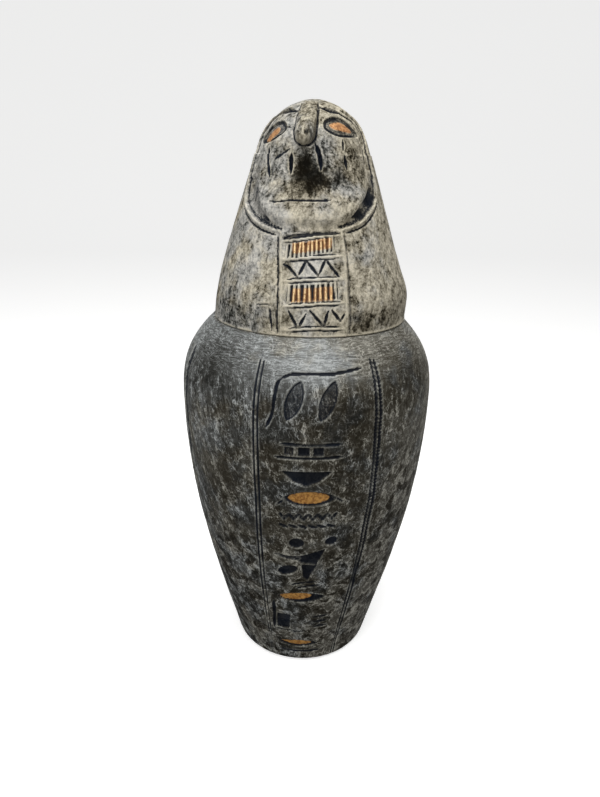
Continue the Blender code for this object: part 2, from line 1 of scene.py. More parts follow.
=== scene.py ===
"""Dressed model of a canopic jar with a falcon-headed lid.

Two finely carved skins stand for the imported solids: the jar with its scored panels, and the lid with its
head, hem and collar. They repeat the solids' formulas, so they keep their form, and a beak sits on the lid.
Angles are degrees round the upright axis: 0 faces -Y and angles turn towards +X. Lengths are metres.
"""

import itertools
import math

import bpy
import numpy as np
from mathutils import Matrix, Vector


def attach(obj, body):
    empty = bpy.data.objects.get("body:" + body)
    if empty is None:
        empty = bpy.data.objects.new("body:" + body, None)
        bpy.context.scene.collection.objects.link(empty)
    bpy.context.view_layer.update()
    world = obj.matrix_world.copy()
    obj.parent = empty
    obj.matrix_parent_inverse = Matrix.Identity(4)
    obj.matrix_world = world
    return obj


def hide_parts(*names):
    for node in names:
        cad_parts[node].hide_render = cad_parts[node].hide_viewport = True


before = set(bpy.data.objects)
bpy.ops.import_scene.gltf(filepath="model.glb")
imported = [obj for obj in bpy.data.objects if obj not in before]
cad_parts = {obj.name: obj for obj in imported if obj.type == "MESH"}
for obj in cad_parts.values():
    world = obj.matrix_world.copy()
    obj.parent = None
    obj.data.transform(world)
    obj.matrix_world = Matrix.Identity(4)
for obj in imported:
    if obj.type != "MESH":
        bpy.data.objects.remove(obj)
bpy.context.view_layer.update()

MM = 0.001

# The jar's turned form, as in the solids
JAR_HEIGHT = 0.1975
FOOT_RADIUS = 0.0395
FOOT_ROUNDING = 0.003
BELLY_RADIUS = 0.067
BELLY_HEIGHT = 0.155
RIM_RADIUS = 0.050
TAPER_POWER = 1.06
SHOULDER_POWER = 2.8
WALL = 0.009
FLOOR = 0.011
MOUTH_RADIUS = 0.038
MOUTH_DEPTH = 0.011
SHOULDER_WALL = 0.016
PANELS = 7
LINE_SPREAD = 2.0
LINE_WIDTH = 1.25
LINE_DEPTH = 0.0010
PANEL_LEAN = -3.5
LEAN_HEIGHT = 0.120
RING_DROP = 0.0075
RING_WIDTH = 0.0012
RING_DEPTH = 0.0004

# The lid's form, as in the solids
LID_HEIGHT = 0.1022
LID_RADIUS = 0.0496
LID_LIFT = 0.0003
LID_SHIFT = 0.001
SKIRT_HEIGHT = 0.128 * LID_HEIGHT
HEAD_RADIUS = 0.568 * LID_RADIUS
DOME_START = 0.761 * LID_HEIGHT
DOME_POWER = 3.0
SKIRT_BLEND = 0.0020
SKIRT_SWELL = 0.0012
PLUG_RADIUS = 0.0365
PLUG_LENGTH = 0.009
PLUG_CHAMFER = 0.001
JAW_TURN = -7.5
HEM_TURN = -5.5
# Places on the lid are given as seen by the camera, which stands this far round from the jar's own front
SEEN_TURN = -4.5

# The face's named heights are shares of the lid's height
BEAK_TURN = -14.0
BEAK_TIP = 0.797
BEAK_SWELL = 0.850
BEAK_ROOT = 0.985
BEAK_WIDTH = 0.091 * LID_HEIGHT
BEAK_REACH = 0.070 * LID_HEIGHT
MOUTH_LEVEL = 0.568
CHIN_LEVEL = 0.500
JAW_FOOT = 0.440
JAW_MIDDLE = 0.650
JAW_WIDTH = 0.665 * LID_HEIGHT
JAW_REACH = 0.033 * LID_HEIGHT
NECK_LEVEL = 0.432
HOLLOW_LEVEL = 0.700
HOLLOW_WIDTH = 0.108 * LID_HEIGHT
HOLLOW_DEPTH = 0.012 * LID_HEIGHT
FACE_DEPTH = 0.013 * LID_HEIGHT

# How finely the skins are divided; behind, only every few rows are kept
JAR_STEP = 0.0006
LID_STEP = 0.0005
ROW_SKIP = 3
# The skins lie this far inside the solids, so that worn bumps never pass them
SKIN_INSET = 0.00016
OUTLINE_POINTS = 6001
# Seeds of the noises: of the cuts and of the worn surface, and of the beak's grooves and grain
JAR_SEEDS = (3, 60)
LID_SEEDS = (9, 90)
BEAK_SEEDS = (140, 150)


def ease(value, low, high):
    """0 below low, 1 above high and a smooth climb between."""
    share = np.clip((value - low) / (high - low), 0.0, 1.0)
    return share * share * (3 - 2 * share)


# Large numbers that scramble a lattice cell's place and the seed into a value
SCRAMBLE = (73856093, 19349663, 83492791)
SCRAMBLE_TWICE = 1274126177


def lattice_noise(points, size, seed):
    """Smooth noise between -1 and 1 over points, in cells of one size or of one size along each axis."""
    cells = points / np.asarray(size)
    low = np.floor(cells).astype(np.int64)
    share = cells - low
    share = share * share * (3 - 2 * share)
    total = np.zeros(len(points))
    for corner in itertools.product((0, 1), repeat=3):
        mixed = np.bitwise_xor.reduce((low + np.array(corner)) * SCRAMBLE, axis=1) ^ seed * SCRAMBLE[2]
        mixed = ((mixed ^ (mixed >> 13)) * SCRAMBLE_TWICE) & 0x7FFFFFFF
        value = ((mixed ^ (mixed >> 16)) % 65536) / 32767.5 - 1
        total += value * np.prod(np.where(corner, share, 1 - share), axis=1)
    return total


def rough_noise(points, size, seed):
    """Two octaves of noise, the second half the size and weight of the first."""
    size = np.asarray(size, float)
    return (lattice_noise(points, size, seed) + lattice_noise(points, size / 2, seed + 1) / 2) / 1.5


def bell(value, middle, width):
    """A smooth bump of height 1."""
    return np.exp(-(((value - middle) / width) ** 2))


def side_step(degrees, turn):
    """Signed angle from a centre line, between -180 and 180 degrees."""
    return (degrees - turn + 180.0) % 360.0 - 180.0


def around(degrees, radius, height):
    """Points on circles round the axis."""
    turn = np.radians(degrees)
    return np.stack(np.broadcast_arrays(np.sin(turn) * radius, -np.cos(turn) * radius, height), axis=-1)


# The jar's surface


def jar_radius(height):
    """Outer radius of the jar: a quarter sine up to the belly, then a shoulder that turns in to the rim."""
    over = np.clip((height - BELLY_HEIGHT) / (JAR_HEIGHT - BELLY_HEIGHT), 0.0, 1.0)
    under = np.sin(np.pi / 2 * np.clip(height / BELLY_HEIGHT, 0.0, 1.0)) ** TAPER_POWER
    radius = FOOT_RADIUS + (BELLY_RADIUS - FOOT_RADIUS) * under
    radius = radius - (BELLY_RADIUS - RIM_RADIUS) * over**SHOULDER_POWER
    drop = np.clip(1 - height / FOOT_ROUNDING, 0.0, 1.0)
    return radius - FOOT_ROUNDING * (1 - np.sqrt(1 - drop * drop))


def panel_lean(height):
    """The scored panels twist a little towards the foot, in degrees."""
    return PANEL_LEAN * np.clip(1 - height / LEAN_HEIGHT, 0.0, 1.0)


def jar_point(degrees, height):
    """Points on the jar's wall, at angles from the middle of the leaning front panel."""
    return around(degrees + panel_lean(height), jar_radius(height) - SKIN_INSET, height)


# The lid's surface


def lid_outline(height):
    """Radius of the plain lid: an upright skirt, a straight taper and a domed crown."""
    slope = (LID_RADIUS - HEAD_RADIUS) / (DOME_START - SKIRT_HEIGHT)
    taper = HEAD_RADIUS + slope * (DOME_START - height)
    share = np.clip((height - DOME_START) / (LID_HEIGHT - DOME_START), 0.0, 1.0)
    gap = taper - LID_RADIUS
    skirt = (taper + LID_RADIUS - np.sqrt(gap * gap + SKIRT_BLEND**2)) / 2 + SKIRT_BLEND / 4
    return np.where(height > DOME_START, taper * np.sqrt(1 - share**DOME_POWER), skirt)


# The wig's hem on either side: shares of the lid's height and half angles from its centre line
HEM_LEFT = (
    (0.440, 21.4), (0.446, 26.0), (0.458, 33.6), (0.479, 42.5), (0.504, 50.5), (0.527, 56.6),
    (0.562, 62.8), (0.606, 66.5), (0.658, 69.0), (0.734, 71.6), (0.804, 74.4), (0.860, 75.0),
    (0.908, 70.0), (0.945, 56.0), (0.963, 38.0), (0.971, 20.6),
)
HEM_RIGHT = (
    (0.451, 20.6), (0.460, 26.5), (0.471, 32.9), (0.487, 39.0), (0.503, 43.2), (0.536, 52.2),
    (0.572, 59.2), (0.612, 63.4), (0.660, 64.8), (0.730, 65.2), (0.799, 67.2), (0.850, 70.6),
    (0.892, 72.0), (0.924, 64.5), (0.946, 52.0), (0.962, 38.3), (0.971, 20.6),
)
HEM = {-1: np.array(HEM_LEFT), 1: np.array(HEM_RIGHT)}
HEM_WIDTH = 0.0015
HEM_RISE = 0.0008


def hem_angle(side, share):
    """Half angle of the wig's opening on one side."""
    return np.interp(share, *HEM[side].T)


def hem_path(side):
    """Places along one side of the hem, from the collar's corner up to the crown."""
    share, half = HEM[side].T
    return np.stack([HEM_TURN + side * half, share * LID_HEIGHT], axis=1)


# The face fades in within the hem, in degrees, above the neck and below the crown, in shares of the height
HEM_FADE = (9.0, 1.0)
NECK_FADE = 0.03
CROWN_FADE = (0.93, 0.975)
# The jaw is a squarish mound, drawn out upwards, that stands out most at the lip
JAW_SQUARENESS = 2.6
JAW_STRETCH = 0.35
JAW_EDGE = (0.72, 1.03)
LIP_SPREAD = 0.085
LIP_SHARE = 0.65
HOLLOW_SPREAD = 0.06
# The skirt swells on the right and draws in on the left: angles and shares of the swell
SKIRT_SIDES = ((84.0, 1.0), (-95.0, -0.6))
SKIRT_SIDE_WIDTH = 45.0
SKIRT_LEVEL = 0.14
SKIRT_SPREAD = 0.085


def lid_relief(degrees, height):
    """Broad carving of the lid: the face inside the wig, the jaw, the neck and the skirt's swell."""
    share = height / LID_HEIGHT
    step = side_step(degrees, HEM_TURN)
    edge = np.where(step > 0, hem_angle(1, share), hem_angle(-1, share))
    inside = 1 - ease(np.abs(step), edge - HEM_FADE[0], edge - HEM_FADE[1])
    inside = inside * ease(share, NECK_LEVEL, NECK_LEVEL + NECK_FADE) * (1 - ease(share, *CROWN_FADE))
    across = np.radians(side_step(degrees, JAW_TURN)) * lid_outline(height)
    over = (share - JAW_MIDDLE) / (JAW_MIDDLE - JAW_FOOT)
    over = np.where(over > 0, over * JAW_STRETCH, over)
    power = JAW_SQUARENESS
    spread = (np.abs(across / (JAW_WIDTH / 2)) ** power + np.abs(over) ** power) ** (1 / power)
    lip = bell(share, (MOUTH_LEVEL + CHIN_LEVEL) / 2, LIP_SPREAD)
    hollow = bell(share, HOLLOW_LEVEL, HOLLOW_SPREAD) * bell(across, 0.0, HOLLOW_WIDTH)
    mound = (1 - ease(spread, *JAW_EDGE)) * JAW_REACH * (1 - LIP_SHARE + LIP_SHARE * lip)
    face = inside * (mound - HOLLOW_DEPTH * hollow - FACE_DEPTH)
    sides = [part * bell(side_step(degrees, turn), 0.0, SKIRT_SIDE_WIDTH) for turn, part in SKIRT_SIDES]
    return face + SKIRT_SWELL * bell(share, SKIRT_LEVEL, SKIRT_SPREAD) * sum(sides)


def lid_point(degrees, height):
    """Points on the broadly carved lid, placed on the jar."""
    radius = np.maximum(lid_outline(height) - SKIN_INSET, 0.0) + lid_relief(degrees, height)
    return around(degrees, radius, JAR_HEIGHT + LID_LIFT + height) + np.array((LID_SHIFT, 0.0, 0.0))


def seen(places):
    """Places on the lid from angles as the camera sees them and shares of the lid's height."""
    return np.array([(angle + SEEN_TURN, share * LID_HEIGHT) for angle, share in places])


# Closed skins of many faces, and lines on them


class Skin:
    """Rows and columns round an axis: every row in front, and only some rows and coarse columns behind.

    Plain rows lie below and above the wall's rows. The first and the last are single points, so it is closed.
    """

    def __init__(self, fine, coarse, below, heights, above):
        after = below + len(heights)
        rows = after + above
        self.kept = [*range(below), *range(below, after - 1, ROW_SKIP), *range(after - 1, rows)]
        inner, behind = np.arange(1, rows - 1), np.array(self.kept[1:-1])
        between = (np.repeat(inner, len(fine)), np.repeat(behind, len(coarse)))
        self.row = np.concatenate([[0], *between, [rows - 1]])
        angle = np.concatenate([[0.0], np.tile(fine, len(inner)), np.tile(coarse, len(behind)), [0.0]])
        self.angle = side_step(angle, 0.0)
        # Each block's first point, its number of columns and its last row
        self.front = (1, len(fine), rows - 1)
        self.back = (1 + len(inner) * len(fine), len(coarse), len(self.kept) - 1)
        self.on_wall = np.flatnonzero((self.row >= below) & (self.row < after))
        self.wall_angle = self.angle[self.on_wall]
        self.wall_height = heights[self.row[self.on_wall] - below]

    def number(self, block, level, column):
        """Number of a point in one of the two blocks."""
        start, count, last = block
        if level == 0:
            return 0
        if level == last:
            return len(self.row) - 1
        return start + (level - 1) * count + column

    def squares(self, block, level):
        """The faces between one row of a block and the next."""
        for j in range(block[1] - 1):
            corners = ((level, j), (level, j + 1), (level + 1, j + 1), (level + 1, j))
            yield tuple(self.number(block, *corner) for corner in corners)

    def faces(self):
        """All faces, wound so that they look outwards, with a seam on either side between the blocks."""
        front, back = self.front, self.back
        found = [face for level in range(front[2]) for face in self.squares(front, level)]
        end = back[1] - 1
        for level, (low, high) in enumerate(zip(self.kept, self.kept[1:])):
            found += self.squares(back, level)
            climb = range(low, high + 1)
            near = [self.number(front, i, front[1] - 1) for i in reversed(climb)]
            found.append((*near, self.number(back, level, 0), self.number(back, level + 1, 0)))
            far = [self.number(front, i, 0) for i in climb]
            found.append((*far, self.number(back, level + 1, end), self.number(back, level, end)))
        return [tuple(dict.fromkeys(face)) for face in found]

    def place_rings(self, points, rings, base=0.0, shift=0.0):
        """Put plain rows on circles, from each row's radius and height."""
        for row, (radius, level) in rings:
            chosen = np.flatnonzero(self.row == row)
            points[chosen] = around(self.angle[chosen], radius, base + level)
            points[chosen, 0] += shift


def even_rows(radius_of, low, high, step):
    """Heights between low and high that are evenly spaced along an outline."""
    fine = low + (high - low) * (1 - (1 - np.linspace(0, 1, OUTLINE_POINTS)) ** 2)
    radii = radius_of(fine)
    walked = np.concatenate([[0.0], np.cumsum(np.hypot(np.diff(radii), np.diff(fine)))])
    count = int(round(walked[-1] / step))
    return np.interp(np.linspace(0, walked[-1], count + 1), walked, fine)


def smooth_line(places, closed=False, parts=6):
    """A smooth line through places, as many short steps."""
    places = np.asarray(places, float)
    if len(places) < 3:
        share = np.linspace(0, 1, parts + 1)[:, None]
        return places[0] * (1 - share) + places[-1] * share
    if closed:
        hull = np.concatenate([places[-1:], places, places[:2]])
    else:
        hull = np.concatenate([2 * places[:1] - places[1:2], places, 2 * places[-1:] - places[-2:-1]])
    share = (np.arange(parts) / parts)[:, None]
    pieces = []
    for a, b, c, d in zip(hull, hull[1:], hull[2:], hull[3:]):
        bent = 2 * b + (c - a) * share + (2 * a - 5 * b + 4 * c - d) * share**2
        pieces.append(0.5 * (bent + (3 * b - a - 3 * c + d) * share**3))
    return np.concatenate(pieces if closed else pieces + [places[-1:]])


def straight_line(places, parts=4):
    """The straight sides of a closed shape, as short steps."""
    places = np.asarray(places, float)
    share = (np.arange(parts) / parts)[:, None]
    return np.concatenate([a * (1 - share) + b * share for a, b in zip(places, np.roll(places, -1, axis=0))])


def lid_line(places, closed=False, parts=6):
    """A smooth line on the lid through places as seen."""
    return smooth_line(seen(places), closed, parts)


# The hand's shake along a cut, its size along the cut, and the size of the places where pale paint caught
SHAKE = 0.16 * MM
SHAKE_SIZE = 1.7 * MM
PATCH_SIZE = 4.0 * MM
# The pale burr beside a cut: how far out it lies, its breadth and its height
BURR_PLACE = 0.30 * MM
BURR_BREADTH = 0.32 * MM
BURR_RISE = 0.10 * MM
# How far beyond a cut its burr reaches, and a ridge or paint beyond its line
BURR_REACH = 1.6 * MM
LINE_REACH = 1.0 * MM
# How strokes swell and thin: the size and share of it
UNEVEN_SIZE = 3.1 * MM
UNEVEN_SHARE = 0.22
PAINT_EDGE = 0.35 * MM
# Lines near the axis are searched as if they lay on a circle at least this wide
LEAST_RADIUS = 8 * MM


def lift(layer, chosen, values):
    """Raise the chosen values of a layer where the new ones are higher."""
    layer[chosen] = np.maximum(layer[chosen], values)


class Carving:
    """Cuts, ridges and paint gathered for the points of a wall."""

    def __init__(self, surface, skin, seed):
        self.surface = surface
        self.angle = skin.wall_angle
        self.height = skin.wall_height
        self.point = surface(self.angle, self.height)
        sideways = surface(self.angle + 0.3, self.height) - surface(self.angle - 0.3, self.height)
        upwards = self.point - surface(self.angle, self.height - 0.2 * MM)
        normal = np.cross(sideways, upwards)
        self.normal = normal / np.maximum(np.linalg.norm(normal, axis=1), 1e-12)[:, None]
        self.cut, self.rise, self.dark, self.light, self.copper = np.zeros((5, len(self.angle)))
        self.shake = SHAKE * rough_noise(self.point, SHAKE_SIZE, seed)
        self.patchy = 0.5 + 0.5 * rough_noise(self.point, PATCH_SIZE, seed + 7)

    def near(self, line, reach):
        """Numbers of the wall's points close to a line of places."""
        radius = max(np.hypot(*self.surface(line[:, 0], line[:, 1])[:, :2].T).min(), LEAST_RADIUS)
        slack = math.degrees(reach / radius)
        low, high = line.min(0), line.max(0)
        inside = (self.angle > low[0] - slack) & (self.angle < high[0] + slack)
        inside &= (self.height > low[1] - reach) & (self.height < high[1] + reach)
        return np.flatnonzero(inside)

    def gap(self, chosen, line, closed=False):
        """Distance of chosen points from a line, how far along it each is nearest, and the line's length."""
        points = self.surface(line[:, 0], line[:, 1])
        if closed:
            points = np.concatenate([points, points[:1]])
        start, run = points[:-1], np.diff(points, axis=0)
        length = np.maximum((run**2).sum(1), 1e-16)
        here = self.point[chosen]
        share = np.clip((here @ run.T - (start * run).sum(1)) / length, 0.0, 1.0)
        offset = here[:, None, :] - start - share[..., None] * run
        far = (offset**2).sum(2)
        nearest = far.argmin(1)
        walked = np.concatenate([[0.0], np.cumsum(np.sqrt(length))])
        picked = np.arange(len(chosen))
        along = walked[nearest] + share[picked, nearest] * np.sqrt(length[nearest])
        return np.sqrt(far[picked, nearest]), along / walked[-1], walked[-1]

    def within(self, chosen, line):
        """Whether chosen points lie inside a closed line of places."""
        x, y = self.angle[chosen], self.height[chosen]
        odd = np.zeros(len(chosen), bool)
        for (ax, ay), (bx, by) in zip(line, np.roll(line, -1, axis=0)):
            crosses = (ay > y) != (by > y)
            rise = by - ay if by != ay else 1.0
            odd ^= crosses & (x < (bx - ax) * (y - ay) / rise + ax)
        return odd

    def outside(self, chosen, line, shake=1.0):
        """Distance of chosen points from a closed line of places, negative inside it."""
        gap = self.gap(chosen, line, closed=True)[0]
        return np.where(self.within(chosen, line), -gap, gap) + shake * self.shake[chosen]

    def edge(self, chosen, gap, strength):
        """A pale, slightly raised burr beside a cut."""
        burr = bell(gap, BURR_PLACE, BURR_BREADTH) * (gap > 0) * strength
        lift(self.light, chosen, burr * (0.15 + 0.85 * ease(self.patchy[chosen], 0.3, 0.7)))
        lift(self.rise, chosen, BURR_RISE * burr)

    def stroke(self, line, width, depth, burr=0.8, ends=0.35, dark=1.0):
        """A scored stroke: V-shaped, uneven like hand work, and thin at its ends."""
        half = width / 2
        chosen = self.near(line, half + BURR_REACH)
        gap, along, length = self.gap(chosen, line)
        fade = ease(np.minimum(along, 1 - along) * length, -0.1 * MM, 3.0 * half)
        uneven = 1 + UNEVEN_SHARE * lattice_noise(self.point[chosen], UNEVEN_SIZE, 5)
        wide = half * (ends + (1 - ends) * fade) * uneven
        gap = gap + self.shake[chosen]
        deep = np.clip(1.15 - gap / wide, 0.0, 1.0)
        lift(self.cut, chosen, depth * (0.5 + 0.5 * fade) * deep)
        lift(self.dark, chosen, dark * ease(deep, 0.05, 0.42))
        self.edge(chosen, gap - wide, burr)

    def ridge(self, line, width, rise, light=0.8):
        """A rounded raised cord, which fills whatever was cut under it."""
        half = width / 2
        chosen = self.near(line, half + LINE_REACH)
        gap = self.gap(chosen, line)[0] + 0.6 * self.shake[chosen]
        full = np.clip(1.1 - (gap / half) ** 2, 0.0, 1.0)
        self.cut[chosen] *= 1 - ease(full, 0.0, 0.5)
        self.dark[chosen] *= 1 - ease(full, 0.1, 0.5)
        lift(self.rise, chosen, rise * np.sqrt(full))
        lift(self.light, chosen, light * full * (0.6 + 0.4 * self.patchy[chosen]))

    def sunk(self, line, depth, wall=0.5 * MM, floor=0.6, burr=0.9, soft=False):
        """A sunk shape with a flat floor inside a closed line, dark and shaky at the edge unless soft."""
        chosen = self.near(line, BURR_REACH + wall)
        gap = self.outside(chosen, line, 0.0 if soft else 1.0)
        deep = ease(-gap, -0.1 * MM, wall)
        rim = 0.0 if soft else bell(gap, -0.35 * MM, 0.5 * MM)
        lift(self.cut, chosen, depth * deep)
        lift(self.dark, chosen, deep * np.maximum(floor, rim))
        if burr:
            self.edge(chosen, gap, burr)

    def paint(self, line, strength=1.0, clean=True):
        """Copper paint inside a closed line, which covers the dark floor unless it was brushed over bars."""
        chosen = self.near(line, LINE_REACH)
        full = ease(-self.outside(chosen, line), -PAINT_EDGE, PAINT_EDGE)
        lift(self.copper, chosen, strength * full)
        if clean:
            self.dark[chosen] *= 1 - 0.9 * full


def spots(angle, height, patches):
    """A sum of soft patches: angle, height, half sizes and strength of each."""
    total = np.zeros(len(angle))
    for middle, level, wide, tall, strength in patches:
        total += strength * bell(side_step(angle, middle), 0.0, wide) * bell(height, level, tall)
    return total


def wall_fields(count, chosen, **columns):
    """Attributes of three parts for all of a piece's points, 0 except at the chosen ones."""
    fields = {}
    for key, values in columns.items():
        fields[key] = np.zeros((count, 3))
        fields[key][chosen] = np.stack(np.broadcast_arrays(*values), axis=-1)
    return fields


def make_piece(name, points, faces, fields, material):
    """A smooth-shaded mesh object with its attributes, riding on the one body."""
    mesh = bpy.data.meshes.new(name)
    mesh.from_pydata(np.asarray(points).tolist(), [], faces)
    for key, values in fields.items():
        made = mesh.attributes.new(key, "FLOAT_VECTOR", "POINT")
        made.data.foreach_set("vector", values.astype(np.float32).ravel())
    mesh.shade_smooth()
    mesh.materials.append(material)
    piece = bpy.data.objects.new(name, mesh)
    bpy.context.scene.collection.objects.link(piece)
    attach(piece, "root")
    return piece


# Materials


def srgb(red, green, blue):
    """A linear colour from 0 to 255 screen values."""
    screen = [v / 255 for v in (red, green, blue)]
    return (*(((v + 0.055) / 1.055) ** 2.4 if v > 10 / 255 else v / 12.92 for v in screen), 1.0)


class Graph:
    """Wires one material's nodes; a value may be a number, a colour or another node's output."""

    def __init__(self, name):
        self.material = bpy.data.materials.new(name)
        self.material.use_nodes = True
        self.tree = self.material.node_tree
        self.shader = self.tree.nodes["Principled BSDF"]

    def put(self, socket, value):
        if isinstance(value, bpy.types.NodeSocket):
            self.tree.links.new(value, socket)
        else:
            socket.default_value = value

    def shade(self, **values):
        """Set the shader's sockets, whose names are given with _ for a space."""
        for key, value in values.items():
            self.put(self.shader.inputs[key.replace("_", " ")], value)

    def node(self, kind, inputs, **settings):
        made = self.tree.nodes.new("ShaderNode" + kind)
        for key, value in settings.items():
            setattr(made, key, value)
        for key, value in inputs.items():
            self.put(made.inputs[key], value)
        return made

    def math(self, operation, *values, clamp=False):
        return self.node("Math", dict(enumerate(values)), operation=operation, use_clamp=clamp).outputs[0]

    def times(self, first, second):
        return self.math("MULTIPLY", first, second)

    def less(self, first, second):
        return self.math("SUBTRACT", first, second)

    def add(self, base, value, share, clamp=False):
        """The base plus a share of the value."""
        return self.math("MULTIPLY_ADD", value, share, base, clamp=clamp)

    def blend(self, share, first, second):
        """A number between two numbers."""
        return self.add(first, share, self.less(second, first))

    def ramp(self, value, low, high):
        inputs = {"Value": value, "From Min": low, "From Max": high}
        return self.node("MapRange", inputs, interpolation_type="SMOOTHSTEP").outputs["Result"]

    def near_half(self, value, wide):
        """1 where a noise crosses its middle value, so a thin wandering line."""
        return self.ramp(self.math("ABSOLUTE", self.less(value, 0.5)), wide, 0.0)

    def vector(self, operation, first, second):
        return self.node("VectorMath", {0: first, 1: second}, operation=operation).outputs[0]

    def scaled(self, value, factor):
        return self.node("VectorMath", {0: value, "Scale": factor}, operation="SCALE").outputs[0]

    def noise(self, place, size, detail, roughness=0.55, distortion=0.0):
        inputs = {"Vector": place, "Scale": 1 / size, "Detail": detail}
        inputs.update({"Roughness": roughness, "Distortion": distortion})
        return self.node("TexNoise", inputs)

    def grey(self, *settings):
        return self.noise(*settings).outputs["Fac"]

    def mix(self, share, first, second):
        made = self.node("Mix", {}, data_type="RGBA")
        for socket, value in zip((made.inputs[0], made.inputs[6], made.inputs[7]), (share, first, second)):
            self.put(socket, value)
        return made.outputs[2]

    def colours(self, value, stops):
        """A colour ramp through stops of a place and 0 to 255 screen values."""
        made = self.node("ValToRGB", {"Fac": value})
        ramp = made.color_ramp
        while len(ramp.elements) < len(stops):
            ramp.elements.new(0.5)
        for element, (place, colour) in zip(ramp.elements, stops):
            element.position = place
            element.color = srgb(*colour)
        return made.outputs["Color"]

    def parts(self, name):
        """The three parts of an attribute."""
        attribute = self.node("Attribute", {}, attribute_name=name).outputs["Vector"]
        return self.node("SeparateXYZ", {0: attribute}).outputs[:3]


NAVY = srgb(19, 25, 35)
# Near black of the soot in the cuts and of the painted shade in the lid's recesses
SOOT_AND_SHADE = srgb(17, 16, 13)
COPPER_DARK = srgb(84, 54, 34)
COPPER_PALE = srgb(252, 220, 164)


# Noises that every piece shares: size in millimetres, detail, roughness and distortion
DRIFT = (9.0, 3.0)
BRUSHING = (1.1, 4.0, 0.62)
BLOTCHES = (7.0, 3.0, 0.5, 0.4)
BREAKS = (3.0, 3.0, 0.6)
TINTS = (17.0, 4.0, 0.6)
CRUMBS = (0.9, 3.0, 0.7)
METAL = (1.5, 4.0, 0.6)
TOOTH = (0.8, 2.0, 0.6)
# The rest of the noises whose size depends on the piece
STREAKS = (3.0, 0.55)
BANDS = (2.0, 0.5)
FLECKS = (3.5, 0.62, 0.5)
WISPS = (2.0, 0.5, 0.5)
# Level brushing draws its noise out sideways
LEVEL_SCALE = (0.14, 0.14, 1.5)
# Values between which these patterns fade in, or out where the first is the higher
PALE_BANDS = (0.50, 0.74)
COVERED_BANDS = (0.36, 0.60)
UNBROKEN = (0.38, 0.52)
NET_CELLS = (0.52, 0.43)
NET_GROUND = (0.46, 0.55)
WARM_TINT = (0.36, 0.60)
CRUMBLED = (0.44, 0.60)
SOOT_AND_SHADE_FADE = (0.10, 0.62)
CAUGHT = (0.30, 0.60)
GILDED = (0.46, 0.66)
BRIGHT_METAL = (0.38, 0.60)
# How much the level brushing calms the blotches and bands, and the net and the dark places calm all patterns
BRUSHED_CALM = 0.7
NET_CALM = 0.35
DARK_CALM = 0.5
DARK_TONES = (-0.42, -0.02)
# The net's dark cells, the pale ground between them and the cells' broken rims
CELL_SHARE = -0.14
GROUND_SHARE = 0.06
RIM_OFFSET = 0.04
RIM_WIDTH = 0.036
RIM_SHARE = 0.30
BURR_SHARE = 0.30
# The fine bump that follows the wear
BUMP_STRENGTH = 0.6
BUMP_HEIGHT = 0.22 * MM


def stone_places(g, look):
    """Places in millimetres, as they are, and the bent, upright and level places that patterns follow."""
    plain = g.scaled(g.node("TexCoord", {}).outputs["Object"], 1000.0)
    drift = g.vector("SUBTRACT", g.noise(plain, *DRIFT).outputs["Color"], (0.5, 0.5, 0.5))
    bent = g.vector("ADD", plain, g.scaled(drift, look["wander"]))
    inputs = {"Vector": bent, "Rotation": look["lean"], "Scale": (1.0, 1.0, look["stretch"])}
    upright = g.node("Mapping", inputs, vector_type="TEXTURE").outputs[0]
    level = g.node("Mapping", {"Vector": bent, "Scale": LEVEL_SCALE}).outputs[0]
    return plain, {"even": bent, "upright": upright, "level": level}


def stone_wear(g, look, places, tone, grain, net, brushed):
    """How pale the stone is worn, with its tone, which holds painted light and shade in places, as a number
    that the shades follow, and its flecks.
    """
    streaks = g.grey(places["upright"], look["streak"], *STREAKS)
    streaks = g.blend(brushed, streaks, g.grey(places["level"], *BRUSHING))
    bands = g.grey(places["upright"], look["band"], *BANDS)
    flecks = g.grey(places["even"], look["fleck"], *FLECKS)
    blotches = g.grey(places["even"], *BLOTCHES)
    settled = g.add(1.0, brushed, -BRUSHED_CALM)
    quiet = g.add(1 - DARK_CALM, g.ramp(tone, *DARK_TONES), DARK_CALM)
    quiet = g.times(quiet, g.add(1.0, net, -NET_CALM))
    blotched = g.add(0.5, g.less(blotches, 0.5), settled)
    banded = g.add(0.3, g.ramp(bands, *PALE_BANDS), settled)
    wear = 0.0
    for kind, value in (("streak", streaks), ("fleck", flecks), ("blotch", blotched), ("band", banded)):
        wear = g.add(wear, g.less(value, 0.5), look[kind + "_share"])
    wear = g.add(g.math("ADD", tone, 0.5), wear, quiet)
    wear = g.add(wear, grain, look["grain_share"])
    breaks = g.ramp(g.grey(places["even"], *BREAKS), *UNBROKEN)
    cover = g.times(g.add(0.45, g.ramp(bands, *COVERED_BANDS), 0.55), breaks)
    shown = {"even": cover, "upright": g.times(cover, g.less(1.0, brushed)), "level": brushed}
    for way, size, wide, share in look["wisps"]:
        contour = g.near_half(g.grey(places[way], size, *WISPS), wide)
        wear = g.add(wear, g.times(contour, shown[way]), share)
    wear = g.add(wear, g.times(g.ramp(blotches, *NET_CELLS), net), CELL_SHARE)
    wear = g.add(wear, g.times(g.ramp(blotches, *NET_GROUND), net), GROUND_SHARE)
    rims = g.times(g.near_half(g.less(blotches, RIM_OFFSET), RIM_WIDTH), net)
    return g.add(wear, g.times(rims, breaks), RIM_SHARE), flecks


def copper_paint(g, look, place, copper, dark, light, flecks):
    """Where the copper paint still covers, and its colour, with a painted highlight on raised bars and burrs.
    """
    metal = g.grey(place, *METAL)
    cover = g.times(copper, g.ramp(g.add(metal, copper, 0.30), *GILDED))
    colour = g.mix(g.ramp(metal, *BRIGHT_METAL), *(srgb(*shade) for shade in look["copper"]))
    colour = g.mix(g.times(g.ramp(dark, 0.3, 0.9), 0.75), colour, COPPER_DARK)
    # Pale copper on the raised bars and burrs is a painted highlight
    shine = g.times(g.ramp(light, 0.3, 0.8), g.ramp(flecks, 0.36, 0.52))
    return cover, g.mix(shine, colour, COPPER_PALE)


